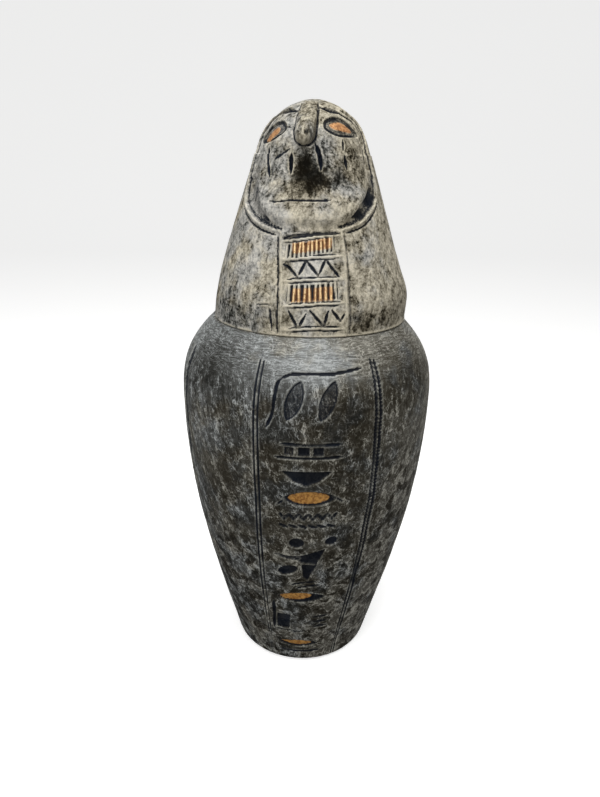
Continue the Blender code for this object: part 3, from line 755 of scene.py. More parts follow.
def stone_paint(name, look):
    """Dark stone with pale dry-brushed wear, streaks, fine pale wisps, sooty cuts, painted shade in the lid's
    recesses, copper paint, and painted light and shade in its tone in places.
    """
    g = Graph(name)
    plain, places = stone_places(g, look)
    dark, light, copper = g.parts("paint")
    # The tone holds painted light and shade in places, besides the stone's own tone
    tone, warm, grain = g.parts("wear")
    net, brushed, cool = g.parts("zone")
    wear, flecks = stone_wear(g, look, places, tone, grain, net, brushed)
    wear = g.add(wear, light, BURR_SHARE)
    tint = g.math("ADD", g.grey(plain, *TINTS), warm)
    tint = g.ramp(g.less(tint, cool), *WARM_TINT)
    shades = [g.colours(wear, [(stop[0], stop[k]) for stop in look["shades"]]) for k in (1, 2)]
    colour = g.mix(tint, *shades)
    crumbs = g.ramp(g.grey(plain, *CRUMBS), *CRUMBLED)
    # Soot and dark paint in the cuts, and the painted shade in the lid's recesses, turn navy to near black
    soot_and_shade = g.times(dark, g.less(1.0, g.times(crumbs, look["scuff"])))
    colour = g.mix(g.ramp(soot_and_shade, *SOOT_AND_SHADE_FADE), colour, g.mix(g.times(tint, 0.5), NAVY, SOOT_AND_SHADE))
    burrs = g.times(g.times(light, g.ramp(flecks, *CAUGHT)), 0.85)
    colour = g.mix(burrs, colour, srgb(*look["burr"]))
    gilt, gold = copper_paint(g, look, places["even"], copper, dark, light, flecks)
    g.shade(
        Base_Color=g.mix(gilt, colour, gold),
        Roughness=g.add(g.less(look["rough"], g.times(gilt, 0.16)), flecks, 0.22, clamp=True),
        Metallic=g.times(gilt, 0.3),
        Specular_IOR_Level=g.times(g.ramp(wear, 0.1, 0.7), look["gloss"]),
    )
    height = g.add(wear, g.grey(plain, *TOOTH), 0.15)
    bump = g.node("Bump", {"Height": height, "Strength": BUMP_STRENGTH, "Distance": BUMP_HEIGHT})
    g.shade(Normal=bump.outputs[0])
    return g.material


# Colours from dark to pale: how far worn, then the colour of cool and of warm stone
JAR_SHADES = (
    (0.12, (20, 21, 20), (22, 20, 14)),
    (0.36, (48, 48, 45), (52, 48, 39)),
    (0.56, (84, 85, 83), (84, 81, 72)),
    (0.76, (128, 131, 130), (129, 127, 118)),
    (0.96, (172, 175, 174), (172, 169, 158)),
)
LID_SHADES = (
    (0.00, (20, 20, 18), (22, 19, 13)),
    (0.18, (44, 44, 41), (46, 42, 33)),
    (0.33, (90, 90, 86), (92, 86, 72)),
    (0.47, (136, 135, 130), (136, 129, 112)),
    (0.66, (166, 164, 158), (168, 161, 143)),
    (0.92, (204, 200, 190), (208, 199, 178)),
)
# Wandering pale lines: the way they run, size, width and share
JAR_WISPS = (
    ("upright", 3.4, 0.034, 0.36),
    ("upright", 2.2, 0.044, 0.34),
    ("even", 2.0, 0.042, 0.34),
    ("level", 1.2, 0.075, 0.22),
)
LID_WISPS = (("upright", 2.8, 0.08, 0.12), ("even", 1.7, 0.08, 0.16))
BEAK_WISPS = (("upright", 1.3, 0.06, 0.30),)
LID_COPPER = ((146, 102, 68), (200, 150, 102))
LID_BURR = (192, 184, 162)
# Values for the jar, the lid and the beak, which was brushed along its length. Patterns are given by their
# sizes in millimetres and their shares
LOOKS = {
    "wander": (3.0, 3.0, 1.5),
    "lean": ((-0.36, -0.08, 0.0), (-0.20, 0.16, 0.0), (0.0, 0.05, 0.0)),
    "stretch": (4.6, 1.9, 6.0),
    "streak": (1.5, 2.2, 1.0),
    "streak_share": (0.36, 1.0, 1.1),
    "band": (5.0, 5.0, 2.4),
    "band_share": (0.20, 0.12, 0.0),
    "fleck": (1.0, 1.3, 1.3),
    "fleck_share": (0.36, 1.3, 0.15),
    "blotch_share": (0.25, 0.55, 0.0),
    "grain_share": (0.04, 0.08, 0.08),
    "wisps": (JAR_WISPS, LID_WISPS, BEAK_WISPS),
    "copper": (((150, 102, 54), (208, 156, 86)), LID_COPPER, LID_COPPER),
    "scuff": (0.30, 0.34, 0.34),
    "rough": (0.50, 0.56, 0.56),
    "gloss": (0.24, 0.22, 0.22),
    "burr": ((146, 145, 136), LID_BURR, LID_BURR),
    "shades": (JAR_SHADES, LID_SHADES, LID_SHADES),
}
JAR_LOOK, LID_LOOK, BEAK_LOOK = ({key: values[k] for key, values in LOOKS.items()} for k in range(3))


# The jar

# The panel's marks are drawn in millimetres on a panel this wide and tall
PANEL_UNITS = (134.0, 197.5)


def on_panel(places):
    """Angles and heights of places drawn on a flat panel, laid on the jar's breadth and height."""
    places = np.asarray(places, float)
    height = places[:, 1] * JAR_HEIGHT / PANEL_UNITS[1]
    across = places[:, 0] * 2 * BELLY_RADIUS / PANEL_UNITS[0]
    return np.stack([np.degrees(across / jar_radius(height)), height], axis=1)


def oval(middle, level, half_length, half_height, tilt=0.0, pinch=1.0):
    """Outline of an oval turned by tilt degrees, drawn in to points where pinch is over 1."""
    turn = np.linspace(0, 2 * np.pi, 16, endpoint=False)
    x = half_length * np.cos(turn)
    z = half_height * np.sign(np.sin(turn)) * np.abs(np.sin(turn)) ** pinch
    cos, sin = math.cos(math.radians(tilt)), math.sin(math.radians(tilt))
    return np.stack([middle + x * cos - z * sin, level + x * sin + z * cos], axis=1)


def block(left, right, low, high):
    """Outline of a rectangle."""
    return [(left, low), (right, low), (right, high), (left, high)]


# A sunk wedge with a long tail to the left
WEDGE = (
    (-17.8, 86.6), (-9.0, 85.0), (-5.0, 82.4), (-1.0, 81.6), (3.2, 80.6),
    (7.2, 92.0), (1.0, 89.6), (-6.0, 87.0), (-10.0, 86.8),
)
# Scored strokes of the panel: places, width and depth in millimetres
PANEL_STROKES = (
    (((-17, 181.8), (-12, 183.7), (-3, 184.0), (6, 184.0), (13, 184.7), (20.5, 185.6)), 1.7, 1.0),
    (((-17, 181.8), (-19, 179), (-20.3, 172.7), (-21.5, 165.7), (-24.3, 159.4)), 1.7, 1.1),
    (((-17.5, 151.8), (-3, 151.6), (11.7, 151.8)), 1.4, 0.9),
    (((-19.7, 145.0), (-4, 144.8), (12, 145.2)), 1.6, 0.9),
    (((-18.8, 87.2), (-12.0, 85.6), (-6.0, 84.6)), 1.7, 1.0),
    (((-19, 118.6), (-15.6, 121.8)), 1.2, 0.7),
    (((-17.6, 124.6), (-15.8, 122.2)), 1.1, 0.6),
    (((9, 123.4), (13.5, 120.4)), 1.2, 0.7),
    (((-9, 66.3), (-3, 67.8), (3.5, 68.6)), 1.3, 0.8),
    (((-6, 64.0), (0, 65.2), (6, 66.0)), 1.3, 0.8),
    (((-18.3, 51.2), (-17.6, 40), (-17.2, 28.6)), 2.0, 1.1),
    (((-16.0, 27.6), (-8, 27.2), (-1.1, 26.6)), 1.3, 0.8),
    (((-13.2, 9.0), (-1, 8.6), (10.3, 9.2)), 1.7, 0.8),
    (((4.4, 39.5), (12.0, 40.1)), 2.4, 1.3),
    (((4.4, 35.3), (12.0, 35.9)), 2.4, 1.3),
    (((4.4, 31.0), (12.0, 31.6)), 2.4, 1.3),
)
# Sunk shapes of the panel: outline, whether its corners are sharp, depth in millimetres, dark of the floor
PANEL_PITS = (
    (oval(-11.3, 172.2, 9.8, 4.0, tilt=69, pinch=1.5), False, 1.1, 0.42),
    (oval(4.4, 172.2, 9.8, 3.8, tilt=69, pinch=1.5), False, 1.1, 0.48),
    (block(-15.6, -11.0, 146.2, 150.4), True, 0.7, 0.40),
    (block(-9.2, -3.5, 146.0, 150.6), True, 1.0, 1.0),
    (block(-2.2, 3.0, 146.0, 150.6), True, 0.8, 0.75),
    (((-17.0, 137.8), (-11.5, 132.4), (-4.9, 129.6), (1.8, 132.4), (7.6, 137.8)), True, 1.1, 0.9),
    (WEDGE, True, 1.0, 1.0),
    (((-4.6, 81.4), (-3.4, 72.0), (-0.8, 69.5), (3.6, 80.6)), True, 1.0, 1.0),
    (oval(-8.0, 95.6, 3.9, 3.2), False, 0.9, 1.0),
    (oval(9.5, 96.6, 3.3, 2.6, tilt=20), False, 0.9, 1.0),
    (oval(-11.5, 76.6, 5.4, 3.2, tilt=22), False, 1.0, 1.0),
    (oval(-2.9, 122.8, 13.0, 4.2, pinch=1.35), False, 0.9, 0.9),
    (oval(-3.1, 56.2, 12.8, 3.7, pinch=1.4), False, 0.9, 0.8),
    (oval(-3.0, 15.8, 11.0, 2.9, pinch=1.4), False, 0.8, 0.8),
    (block(-16.0, -8.4, 29.4, 41.6), True, 0.6, 0.8),
)
# Painted ovals inside three of the sunk shapes
PANEL_PAINT = (
    oval(-3.4, 123.0, 10.0, 3.4, pinch=1.1),
    oval(-6.4, 56.8, 8.6, 2.9, tilt=3, pinch=1.2),
    oval(-4.2, 16.3, 8.8, 2.1, tilt=-3, pinch=1.2),
)
# Two slanted dashes with a flatter one under them, and the places across the panel where they stand
DASHES = (((-1.9, 113.6), (0.0, 110.8)), ((0.3, 111.0), (2.1, 113.6)), ((-1.6, 107.0), (1.8, 105.8)))
DASH_PLACES = [-15.0 + 4.7 * k for k in range(6)]
# The upright lines that were cut in short bites, counted round from the front panel's right edge
CHATTERED = (0, 1)
BEAD_STEP = 0.0019
# Lines scored a little off their places, in degrees; those cut finer or bolder than the plain share of the
# width; and those begun lower down
LINE_SWAY = {10: 4.7, 11: 5.1, 12: 0.6, 13: 0.4}
LINE_SHARE = {0: 1.25, 1: 1.25, 10: 1.35, 11: 1.35, 12: 0.66, 13: 0.70}
PLAIN_SHARE = 0.95
LINE_DROP = {10: 0.006, 11: 0.005}
# Softer and darker patches of the jar: angle, height, half sizes and strength. The first, on the front of the
# shoulder, is a painted highlight
JAR_PATCHES = (
    (-1.0, 0.186, 12.0, 0.009, 0.16), (-34.0, 0.176, 7.0, 0.012, 0.10),
    (-52.0, 0.182, 22.0, 0.016, -0.26), (-84.0, 0.155, 11.0, 0.030, 0.18),
    (52.0, 0.184, 24.0, 0.016, -0.18), (-54.0, 0.150, 14.0, 0.026, 0.09),
    (14.0, 0.168, 10.0, 0.012, -0.10), (-4.0, 0.160, 18.0, 0.018, -0.10),
    (12.0, 0.135, 7.0, 0.020, -0.06), (-20.0, 0.140, 5.0, 0.020, -0.06),
    (-40.0, 0.165, 10.0, 0.014, -0.02), (-40.0, 0.130, 8.0, 0.018, -0.05),
    (32.0, 0.178, 8.0, 0.010, -0.05), (58.0, 0.140, 12.0, 0.030, 0.06),
    (-14.0, 0.118, 5.0, 0.010, -0.08), (40.0, 0.050, 14.0, 0.040, 0.05),
    (72.0, 0.165, 12.0, 0.030, 0.14), (66.0, 0.080, 10.0, 0.050, 0.08),
    (-66.0, 0.130, 12.0, 0.040, 0.06), (-48.0, 0.170, 9.0, 0.010, 0.08),
    (140.0, 0.120, 30.0, 0.040, 0.05), (-130.0, 0.090, 26.0, 0.030, -0.05),
)
# The jar's general tone, and how much paler the shoulder is, partly as painted light from above
JAR_TONE = -0.11
SHOULDER_TONE = 0.24


def line_angles():
    """Angles of the upright scored lines, two at each edge between panels."""
    panel = 360.0 / PANELS
    angles = [(k + 0.5) * panel + side * LINE_SPREAD / 2 for k in range(PANELS) for side in (-1, 1)]
    for k, sway in LINE_SWAY.items():
        angles[k] += sway
    return angles


# The scored lines begin this far under the rim, staggered, and fade out at their ends
LINE_TOP = 0.009
LINE_FADE = 4 * MM
# The size of the bites of a chattered line and of the others, as shares of its width
BITES = 0.42
PLAIN_BITES = 0.06
# Size and depth of the lines' wandering, and size and share of the jitter of their bites
WANDER = (17 * MM, 0.25 * MM)
JITTER = (5 * MM, 1.4)


def carve_lines(wall):
    """The upright double lines between panels; some were cut in a chatter of short bites."""
    for k, middle in enumerate(line_angles()):
        chosen = np.flatnonzero(np.abs(side_step(wall.angle, middle)) < 3 * LINE_WIDTH)
        height = wall.height[chosen]
        radius = jar_radius(height)
        strip = np.stack([np.full(len(height), k * 0.05), np.zeros(len(height)), height], axis=1)
        sway = WANDER[1] * lattice_noise(strip, WANDER[0], 31 + k)
        across = np.radians(side_step(wall.angle[chosen], middle)) * radius
        gap = np.abs(across + sway) + 0.8 * wall.shake[chosen]
        jitter = JITTER[1] * lattice_noise(strip, JITTER[0], 50 + k)
        beads = np.sin(2 * np.pi * height / BEAD_STEP + jitter + k)
        bites = beads * (BITES if k in CHATTERED else PLAIN_BITES) * ease(height, 0.05, 0.11)
        share = (LINE_SHARE.get(k, PLAIN_SHARE) + bites) * (0.8 + 0.2 * ease(height, 0.0, 0.12))
        half = np.radians(LINE_WIDTH / 2) * radius * share
        start = JAR_HEIGHT - LINE_TOP + (4 * MM if k % 3 else 1.5 * MM) - (3 * MM if k % 2 else 0.0)
        start -= LINE_DROP.get(k, 0.0)
        fade = ease(start - height, 0.0, LINE_FADE) * ease(height, 0.5 * MM, 5 * MM)
        deep = np.clip(1.2 - gap / half, 0.0, 1.0) * fade
        lift(wall.cut, chosen, LINE_DEPTH * deep)
        lift(wall.dark, chosen, ease(deep, 0.05, 0.40))
        wall.edge(chosen, np.where(fade > 0.3, gap - half, 1.0), 0.9)


def carve_panel(wall):
    """The front panel's column of plain sunk marks and strokes."""
    for outline, sharp, depth, floor in PANEL_PITS:
        line = straight_line(on_panel(outline)) if sharp else smooth_line(on_panel(outline), True, 3)
        wall.sunk(line, depth * MM, floor=floor)
    for path, width, depth in PANEL_STROKES:
        wall.stroke(smooth_line(on_panel(path)), width * MM, depth * MM)
    for place in DASH_PLACES:
        for dash in DASHES:
            line = smooth_line(on_panel([(place + x, z) for x, z in dash]))
            wall.stroke(line, 1.9 * MM, 0.9 * MM, 0.7, ends=0.8)
    for outline in PANEL_PAINT:
        wall.paint(smooth_line(on_panel(outline), True, 3))


# Hand-worked unevenness: sizes of the broad dents, the tool marks and the grain, and how deep each goes
DENTS = (15 * MM, 0.20 * MM)
TOOLING = ((3.2 * MM, 3.2 * MM, 6.0 * MM), 0.09 * MM)
GRAIN = (1.5 * MM, 0.06 * MM)
# The worn surface is moved out again by this much, to lie about the true one
WORN_LIFT = 0.18 * MM


def worn_surface(wall, seed):
    """How far hand work and wear move the wall out, and the grain that the paint follows."""
    out, layers = 0.0, []
    for k, (size, depth) in enumerate((DENTS, TOOLING, GRAIN)):
        layers.append(rough_noise(wall.point, size, seed + 10 * k))
        out = out + depth * (layers[k] - 1)
    return out + WORN_LIFT, 0.6 * layers[1] + 0.8 * layers[2]


def jar_rest():
    """Radius and height of the rows that aren't carved: underside, and rim to the hollow's floor."""
    under = [(0.35 * FOOT_RADIUS, 0.0), (0.75 * FOOT_RADIUS, 0.0)]
    throat = JAR_HEIGHT - MOUTH_DEPTH
    mouth = [
        (RIM_RADIUS - 0.6 * MM, JAR_HEIGHT),
        (0.5 * (RIM_RADIUS + MOUTH_RADIUS), JAR_HEIGHT),
        (MOUTH_RADIUS + 0.3 * MM, JAR_HEIGHT),
        (MOUTH_RADIUS, JAR_HEIGHT - 0.3 * MM),
        (MOUTH_RADIUS, throat),
    ]
    belly_top = throat - SHOULDER_WALL
    slope = (MOUTH_RADIUS + jar_radius(belly_top) - WALL) / 2 + 2 * MM
    mouth.append((slope, (throat + 2 * belly_top) / 3))
    levels = np.linspace(belly_top, FLOOR + 2 * FOOT_ROUNDING, 12)
    mouth += [(float(jar_radius(h)) - WALL, float(h)) for h in levels]
    mouth += [(float(jar_radius(FLOOR)) - WALL - FOOT_ROUNDING, FLOOR), (0.4 * FOOT_RADIUS, FLOOR)]
    return under, mouth


# The jar's closely divided front in degrees, and its columns; behind, columns lie across each scored line, at
# shares of half its width, and evenly between the lines
JAR_FRONT = (-38.0, 38.0, 171)
JAR_BACK = (39.0, 321.0)
LINE_COLUMNS = (-1.3, -0.55, 0.0, 0.55, 1.3)
PANEL_COLUMNS = 27


def jar_columns():
    """Angles of the jar's columns in front and behind."""
    lines = line_angles()
    found = [middle + share * LINE_WIDTH / 2 for middle in lines for share in LINE_COLUMNS]
    for low, high in zip(lines[1::2], lines[2::2]):
        found += list(np.linspace(low + LINE_WIDTH, high - LINE_WIDTH, PANEL_COLUMNS))
    return np.linspace(*JAR_FRONT), np.array(sorted(a for a in found if JAR_BACK[0] < a < JAR_BACK[1]))


# Heights and angles between which the jar's tone and wear change: the pale shoulder, paler partly as painted
# light from above, the belly and foot, darker at the foot partly as painted shade, the right side with its
# net, the net round the foot, and the level brushing and cool tint under the rim
SHOULDER_BAND = (0.166, 0.190)
BELLY_BAND = (0.120, 0.170)
FOOT_BAND = (0.0, 0.020)
RIGHT_START, RIGHT_END = (26.0, 34.0), (150.0, 170.0)
RIGHT_BAND, RIGHT_TOP, RIGHT_NET_TOP = (0.120, 0.150), (0.160, 0.176), (0.120, 0.150)
NET_TOP = (0.075, 0.115)
BRUSHED_BAND = (0.174, 0.186)
COOL_BAND = (0.150, 0.180)


def jar_wear(angle, height):
    """Tone and warmth of the jar's wall, and how far net, level brushing and cool tints show there; the tone
    is paler up the shoulder and darker at the foot, partly as painted light and shade.
    """
    sideways = np.sin(np.radians(angle))
    right = ease(angle, *RIGHT_START) * (1 - ease(angle, *RIGHT_END))
    # Paler up the shoulder and darker at the foot: partly the stone's own tone, partly painted light and shade
    tone = JAR_TONE + SHOULDER_TONE * ease(height, *SHOULDER_BAND) + spots(angle, height, JAR_PATCHES)
    tone += 0.03 * ease(height, *BELLY_BAND) - 0.05 * (1 - ease(height, *FOOT_BAND))
    tone += (0.05 + 0.05 * ease(height, *RIGHT_BAND)) * right * (1 - ease(height, *RIGHT_TOP))
    net = np.maximum(1 - ease(height, *NET_TOP), right * (1 - ease(height, *RIGHT_NET_TOP)))
    cool = ease(height, *COOL_BAND) * (0.08 - 0.10 * sideways)
    return tone, 0.08 * sideways + 0.03, (net, ease(height, *BRUSHED_BAND), cool)


def make_jar(material):
    """The jar's skin: a carved wall, a flat rim and underside, and the hollow inside."""
    heights = even_rows(jar_radius, 0.0, JAR_HEIGHT - 0.25 * MM, JAR_STEP)
    under, mouth = jar_rest()
    skin = Skin(*jar_columns(), 1 + len(under), heights, len(mouth) + 1)
    wall = Carving(jar_point, skin, JAR_SEEDS[0])
    height = wall.height
    carve_panel(wall)
    carve_lines(wall)
    ring = np.clip(1 - np.abs(height - JAR_HEIGHT + RING_DROP + 0.5 * wall.shake) / (RING_WIDTH / 2), 0, 1)
    ring *= ease(wall.patchy, 0.30, 0.55)
    lift(wall.cut, slice(None), RING_DEPTH * ring)
    lift(wall.dark, slice(None), 0.45 * ring)
    out, grain = worn_surface(wall, JAR_SEEDS[1])
    edge = ease(height, 0.0, 3 * MM)
    point = wall.point + wall.normal * ((out * edge) - wall.cut + wall.rise * edge)[:, None]
    point[:, 2] = np.clip(point[:, 2], 0.0, JAR_HEIGHT)
    points = np.zeros((len(skin.row), 3))
    skin.place_rings(points, enumerate(under, 1))
    skin.place_rings(points, enumerate(mouth, 1 + len(under) + len(heights)))
    points[-1] = (0.0, 0.0, FLOOR)
    points[skin.on_wall] = point
    tone, warm, zone = jar_wear(wall.angle, height)
    paint = (wall.dark, wall.light, wall.copper)
    fields = wall_fields(len(points), skin.on_wall, paint=paint, wear=(tone, warm, grain), zone=zone)
    piece = make_piece("jar_skin", points, skin.faces(), fields, material)
    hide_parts("jar")


# The lid

# Outlines and lines of the lid, as seen: angles and shares of the lid's height
EYE_LEFT = (
    (-68.0, 0.817), (-67.0, 0.846), (-62.0, 0.869), (-55.0, 0.887), (-45.3, 0.895), (-37.8, 0.885),
    (-34.0, 0.867), (-36.5, 0.849), (-43.4, 0.831), (-52.4, 0.817), (-62.0, 0.811),
)
EYE_RIGHT = (
    (11.9, 0.880), (14.5, 0.897), (23.1, 0.909), (34.1, 0.911), (43.6, 0.895), (49.5, 0.870),
    (53.5, 0.845), (39.8, 0.838), (28.1, 0.840), (19.5, 0.851), (13.3, 0.866),
)
IRIS_LEFT = (
    (-63.0, 0.817), (-60.5, 0.836), (-54.8, 0.861), (-49.0, 0.876),
    (-44.0, 0.870), (-43.4, 0.853), (-50.0, 0.832), (-55.0, 0.816),
)
IRIS_RIGHT = (
    (18.4, 0.886), (29.5, 0.900), (39.5, 0.893), (45.5, 0.876),
    (48.8, 0.858), (40.4, 0.857), (31.8, 0.863), (23.8, 0.869),
)
MOUTH = (
    (-32.4, 0.567), (-25.0, 0.566), (-17.4, 0.572), (-9.2, 0.573),
    (-0.5, 0.573), (6.7, 0.574), (12.5, 0.576),
)
BROW_RIGHT = (
    (8.0, 0.957), (19.3, 0.950), (37.1, 0.941), (46.0, 0.924),
    (55.6, 0.908), (61.0, 0.884), (64.5, 0.860),
)
BROW_LEFT = (
    (-27.5, 0.938), (-38.0, 0.942), (-46.1, 0.944), (-54.8, 0.940),
    (-64.0, 0.926), (-69.0, 0.902), (-72.4, 0.872), (-74.2, 0.848),
)
# Strokes of the face: places, width and depth in millimetres, pale edge and darkness
FACE_STROKES = (
    (MOUTH, 1.1, 0.9, 0.35, 0.85),
    (((-21.1, 0.764), (-20.4, 0.724), (-19.3, 0.681)), 1.9, 1.5, 0.9, 1.0),
    (((0.9, 0.803), (3.8, 0.777), (6.0, 0.736), (6.3, 0.696)), 2.0, 1.7, 0.7, 1.0),
    (((-49.3, 0.786), (-45.6, 0.733), (-38.7, 0.664)), 1.6, 1.1, 0.8, 0.95),
    (((30.3, 0.822), (28.9, 0.776)), 1.1, 0.6, 0.8, 0.6),
    (((29.2, 0.757), (29.9, 0.702)), 2.2, 1.0, 0.5, 0.95),
    (((58.7, 0.789), (54.7, 0.715)), 1.1, 0.7, 0.7, 0.85),
    (BROW_RIGHT, 2.0, 1.3, 0.8, 1.0),
    (BROW_RIGHT[:4], 3.8, 1.5, 0.2, 1.0),
    (BROW_LEFT, 2.0, 1.3, 0.8, 1.0),
    (BROW_LEFT[:5], 3.8, 1.5, 0.2, 1.0),
    (((-33.9, 0.874), (-26.5, 0.870)), 1.1, 0.6, 0.2, 0.9),
    (((-38.0, 0.735), (-30.0, 0.760), (-23.0, 0.782)), 1.3, 0.4, 0.2, 0.75),
)
JAW_LINE = (
    (-60.0, 0.690), (-52.0, 0.645), (-46.2, 0.607), (-41.0, 0.567), (-36.4, 0.526), (-30.5, 0.486),
    (-24.5, 0.466), (-17.3, 0.457), (-7.9, 0.452), (11.9, 0.455), (20.0, 0.470), (28.0, 0.510),
    (35.1, 0.554), (43.0, 0.585), (51.0, 0.612), (57.0, 0.645), (59.0, 0.690),
)
COLLAR_LEFT = (
    (-22.6, 0.446), (-20.6, 0.425), (-19.4, 0.360), (-17.0, 0.235), (-16.0, 0.106), (-15.6, 0.004),
)
COLLAR_RIGHT = (
    (19.6, 0.452), (19.4, 0.427), (20.0, 0.364), (19.9, 0.269),
    (19.2, 0.175), (19.4, 0.074), (18.8, 0.004),
)
NECK_BAND = (
    (-18.5, 0.424), (-8.0, 0.440), (6.1, 0.450), (17.8, 0.446),
    (17.8, 0.434), (6.0, 0.429), (-7.8, 0.417), (-18.0, 0.404),
)
# Light ribs across the collar
COLLAR_RIBS = (
    ((-18.2, 0.403), (-7.8, 0.413), (6.0, 0.426), (18.0, 0.431)),
    ((-17.8, 0.326), (1.3, 0.340), (18.2, 0.344)),
    ((-15.6, 0.237), (1.4, 0.249), (18.0, 0.250)),
    ((-14.5, 0.132), (1.5, 0.146), (18.0, 0.151)),
    ((-13.8, 0.026), (1.8, 0.039), (17.6, 0.035)),
)
# Combs of bars: first and last angle, lower and upper share, climb to the right, number of bars, the painted
# ones, whether paint fills the gaps too, and the shares of the height between which it lies
COMBS = (
    {
        "ends": (-16.0, 13.4),
        "low": 0.350,
        "high": 0.405,
        "climb": 0.016,
        "bars": 12,
        "painted": (2, 11),
        "gaps": True,
        "paint": (0.25, 1.05),
    },
    {
        "ends": (-12.6, 13.8),
        "low": 0.158,
        "high": 0.230,
        "climb": 0.007,
        "bars": 10,
        "painted": (1, 9),
        "gaps": False,
        "paint": (-0.02, 0.80),
    },
)
COMB_MARGIN = 1.2
COLLAR_DEPTH = 0.35 * MM
# The face's recess between the jaw and the hem
RECESS_DEPTH = 0.9 * MM
RECESS_WALL = 1.3 * MM
ZIGZAGS = (
    ((-16.7, 0.307), (-13.0, 0.293), (-8.2, 0.258)), ((-7.4, 0.269), (-3.4, 0.326)),
    ((-3.0, 0.324), (3.9, 0.265)), ((4.2, 0.271), (8.2, 0.333)),
    ((8.6, 0.330), (16.0, 0.261)), ((-12.1, 0.114), (-7.1, 0.042)),
    ((-6.2, 0.045), (-2.8, 0.102)), ((-0.5, 0.118), (6.6, 0.051)),
    ((7.0, 0.054), (9.2, 0.115)), ((11.3, 0.118), (16.0, 0.069)),
    ((16.0, 0.069), (18.0, 0.099)),
)
# Shallow scratches on the left lappet, given like the strokes of the face
SCRATCHES = (
    (((-31.0, 0.128), (-26.0, 0.133), (-20.0, 0.129)), 1.0, 0.45, 0.5, 0.5),
    (((-22.5, 0.120), (-21.6, 0.070), (-21.0, 0.020)), 1.2, 0.5, 0.4, 0.8),
    (((-19.0, 0.115), (-18.3, 0.060), (-18.0, 0.020)), 1.0, 0.5, 0.4, 0.8),
    (((-26.0, 0.190), (-22.0, 0.172)), 0.9, 0.4, 0.7, 0.4),
)
# Lighter and darker patches of the lid, as seen: angle, share of its height, half sizes and strength. The
# first two darken the face under the beak, partly patina and partly the beak's painted shadow
LID_PATCHES = (
    (-7.0, 0.710, 13.5, 0.070, -0.48), (4.0, 0.648, 17.0, 0.042, -0.40),
    (24.0, 0.672, 12.0, 0.050, -0.24), (-14.0, 0.610, 14.0, 0.024, -0.14),
    (1.0, 0.230, 19.0, 0.190, 0.24), (30.0, 0.780, 16.0, 0.050, -0.16),
    (-40.0, 0.700, 16.0, 0.070, -0.13), (46.0, 0.700, 18.0, 0.080, -0.05),
    (-2.0, 0.500, 30.0, 0.040, 0.20), (-46.0, 0.530, 10.0, 0.040, 0.06),
    (-40.0, 0.400, 14.0, 0.050, 0.10), (-34.0, 0.270, 12.0, 0.120, 0.04),
    (-50.0, 0.070, 26.0, 0.080, -0.24), (60.0, 0.330, 26.0, 0.120, 0.10),
    (40.0, 0.150, 12.0, 0.060, 0.08), (28.0, 0.050, 7.0, 0.050, -0.26),
    (40.0, 0.060, 14.0, 0.050, -0.14), (23.5, 0.180, 2.2, 0.110, -0.20),
    (16.0, 0.300, 2.6, 0.030, -0.30), (-15.0, 0.290, 2.6, 0.030, -0.22),
    (-13.5, 0.080, 2.6, 0.034, -0.30), (62.0, 0.080, 22.0, 0.060, -0.06),
    (-14.0, 0.600, 26.0, 0.030, -0.04), (0.0, 0.990, 70.0, 0.040, 0.02),
    (150.0, 0.400, 50.0, 0.250, -0.04), (-130.0, 0.650, 40.0, 0.180, 0.06),
)
# Painted shade in the lid's recesses beside the cheeks and under the chin, as seen: angle, share of its
# height, half sizes and strength
LID_PAINTED_SHADE = (
    (49.0, 0.600, 9.0, 0.060, 1.4),
    (34.0, 0.515, 9.0, 0.024, 1.1),
    (-52.0, 0.600, 7.0, 0.040, 0.6),
    (-34.0, 0.490, 9.0, 0.020, 0.8),
    (0.0, 0.445, 16.0, 0.012, 0.8),
)
LID_TONE = 0.02


def carve_comb(wall, comb):
    """A comb's raised bars, and the copper brushed over some of them."""
    low, high = comb["low"], comb["high"]
    first, last = comb["ends"]
    step = (last - first) / (comb["bars"] - 1)
    wide = step * (0.62 if comb["gaps"] else 0.40)
    for k in range(comb["bars"]):
        across = first + step * k
        rise = comb["climb"] * (2 * k / (comb["bars"] - 1) - 1)
        sway = 0.5 * math.sin(2.7 * k)
        bar = lid_line([(across, low + rise), (across + sway, high + rise)])
        wall.ridge(bar, 1.2 * MM, 0.12 * MM, 1.0)
        if comb["painted"][0] <= k < comb["painted"][1]:
            foot, head = (low + (high - low) * share + rise for share in comb["paint"])
            corners = [(across - wide, foot), (across + wide, foot)]
            corners += [(across + wide + sway, head), (across - wide + sway, head)]
            wall.paint(straight_line(seen(corners), 3), 0.95, clean=False)


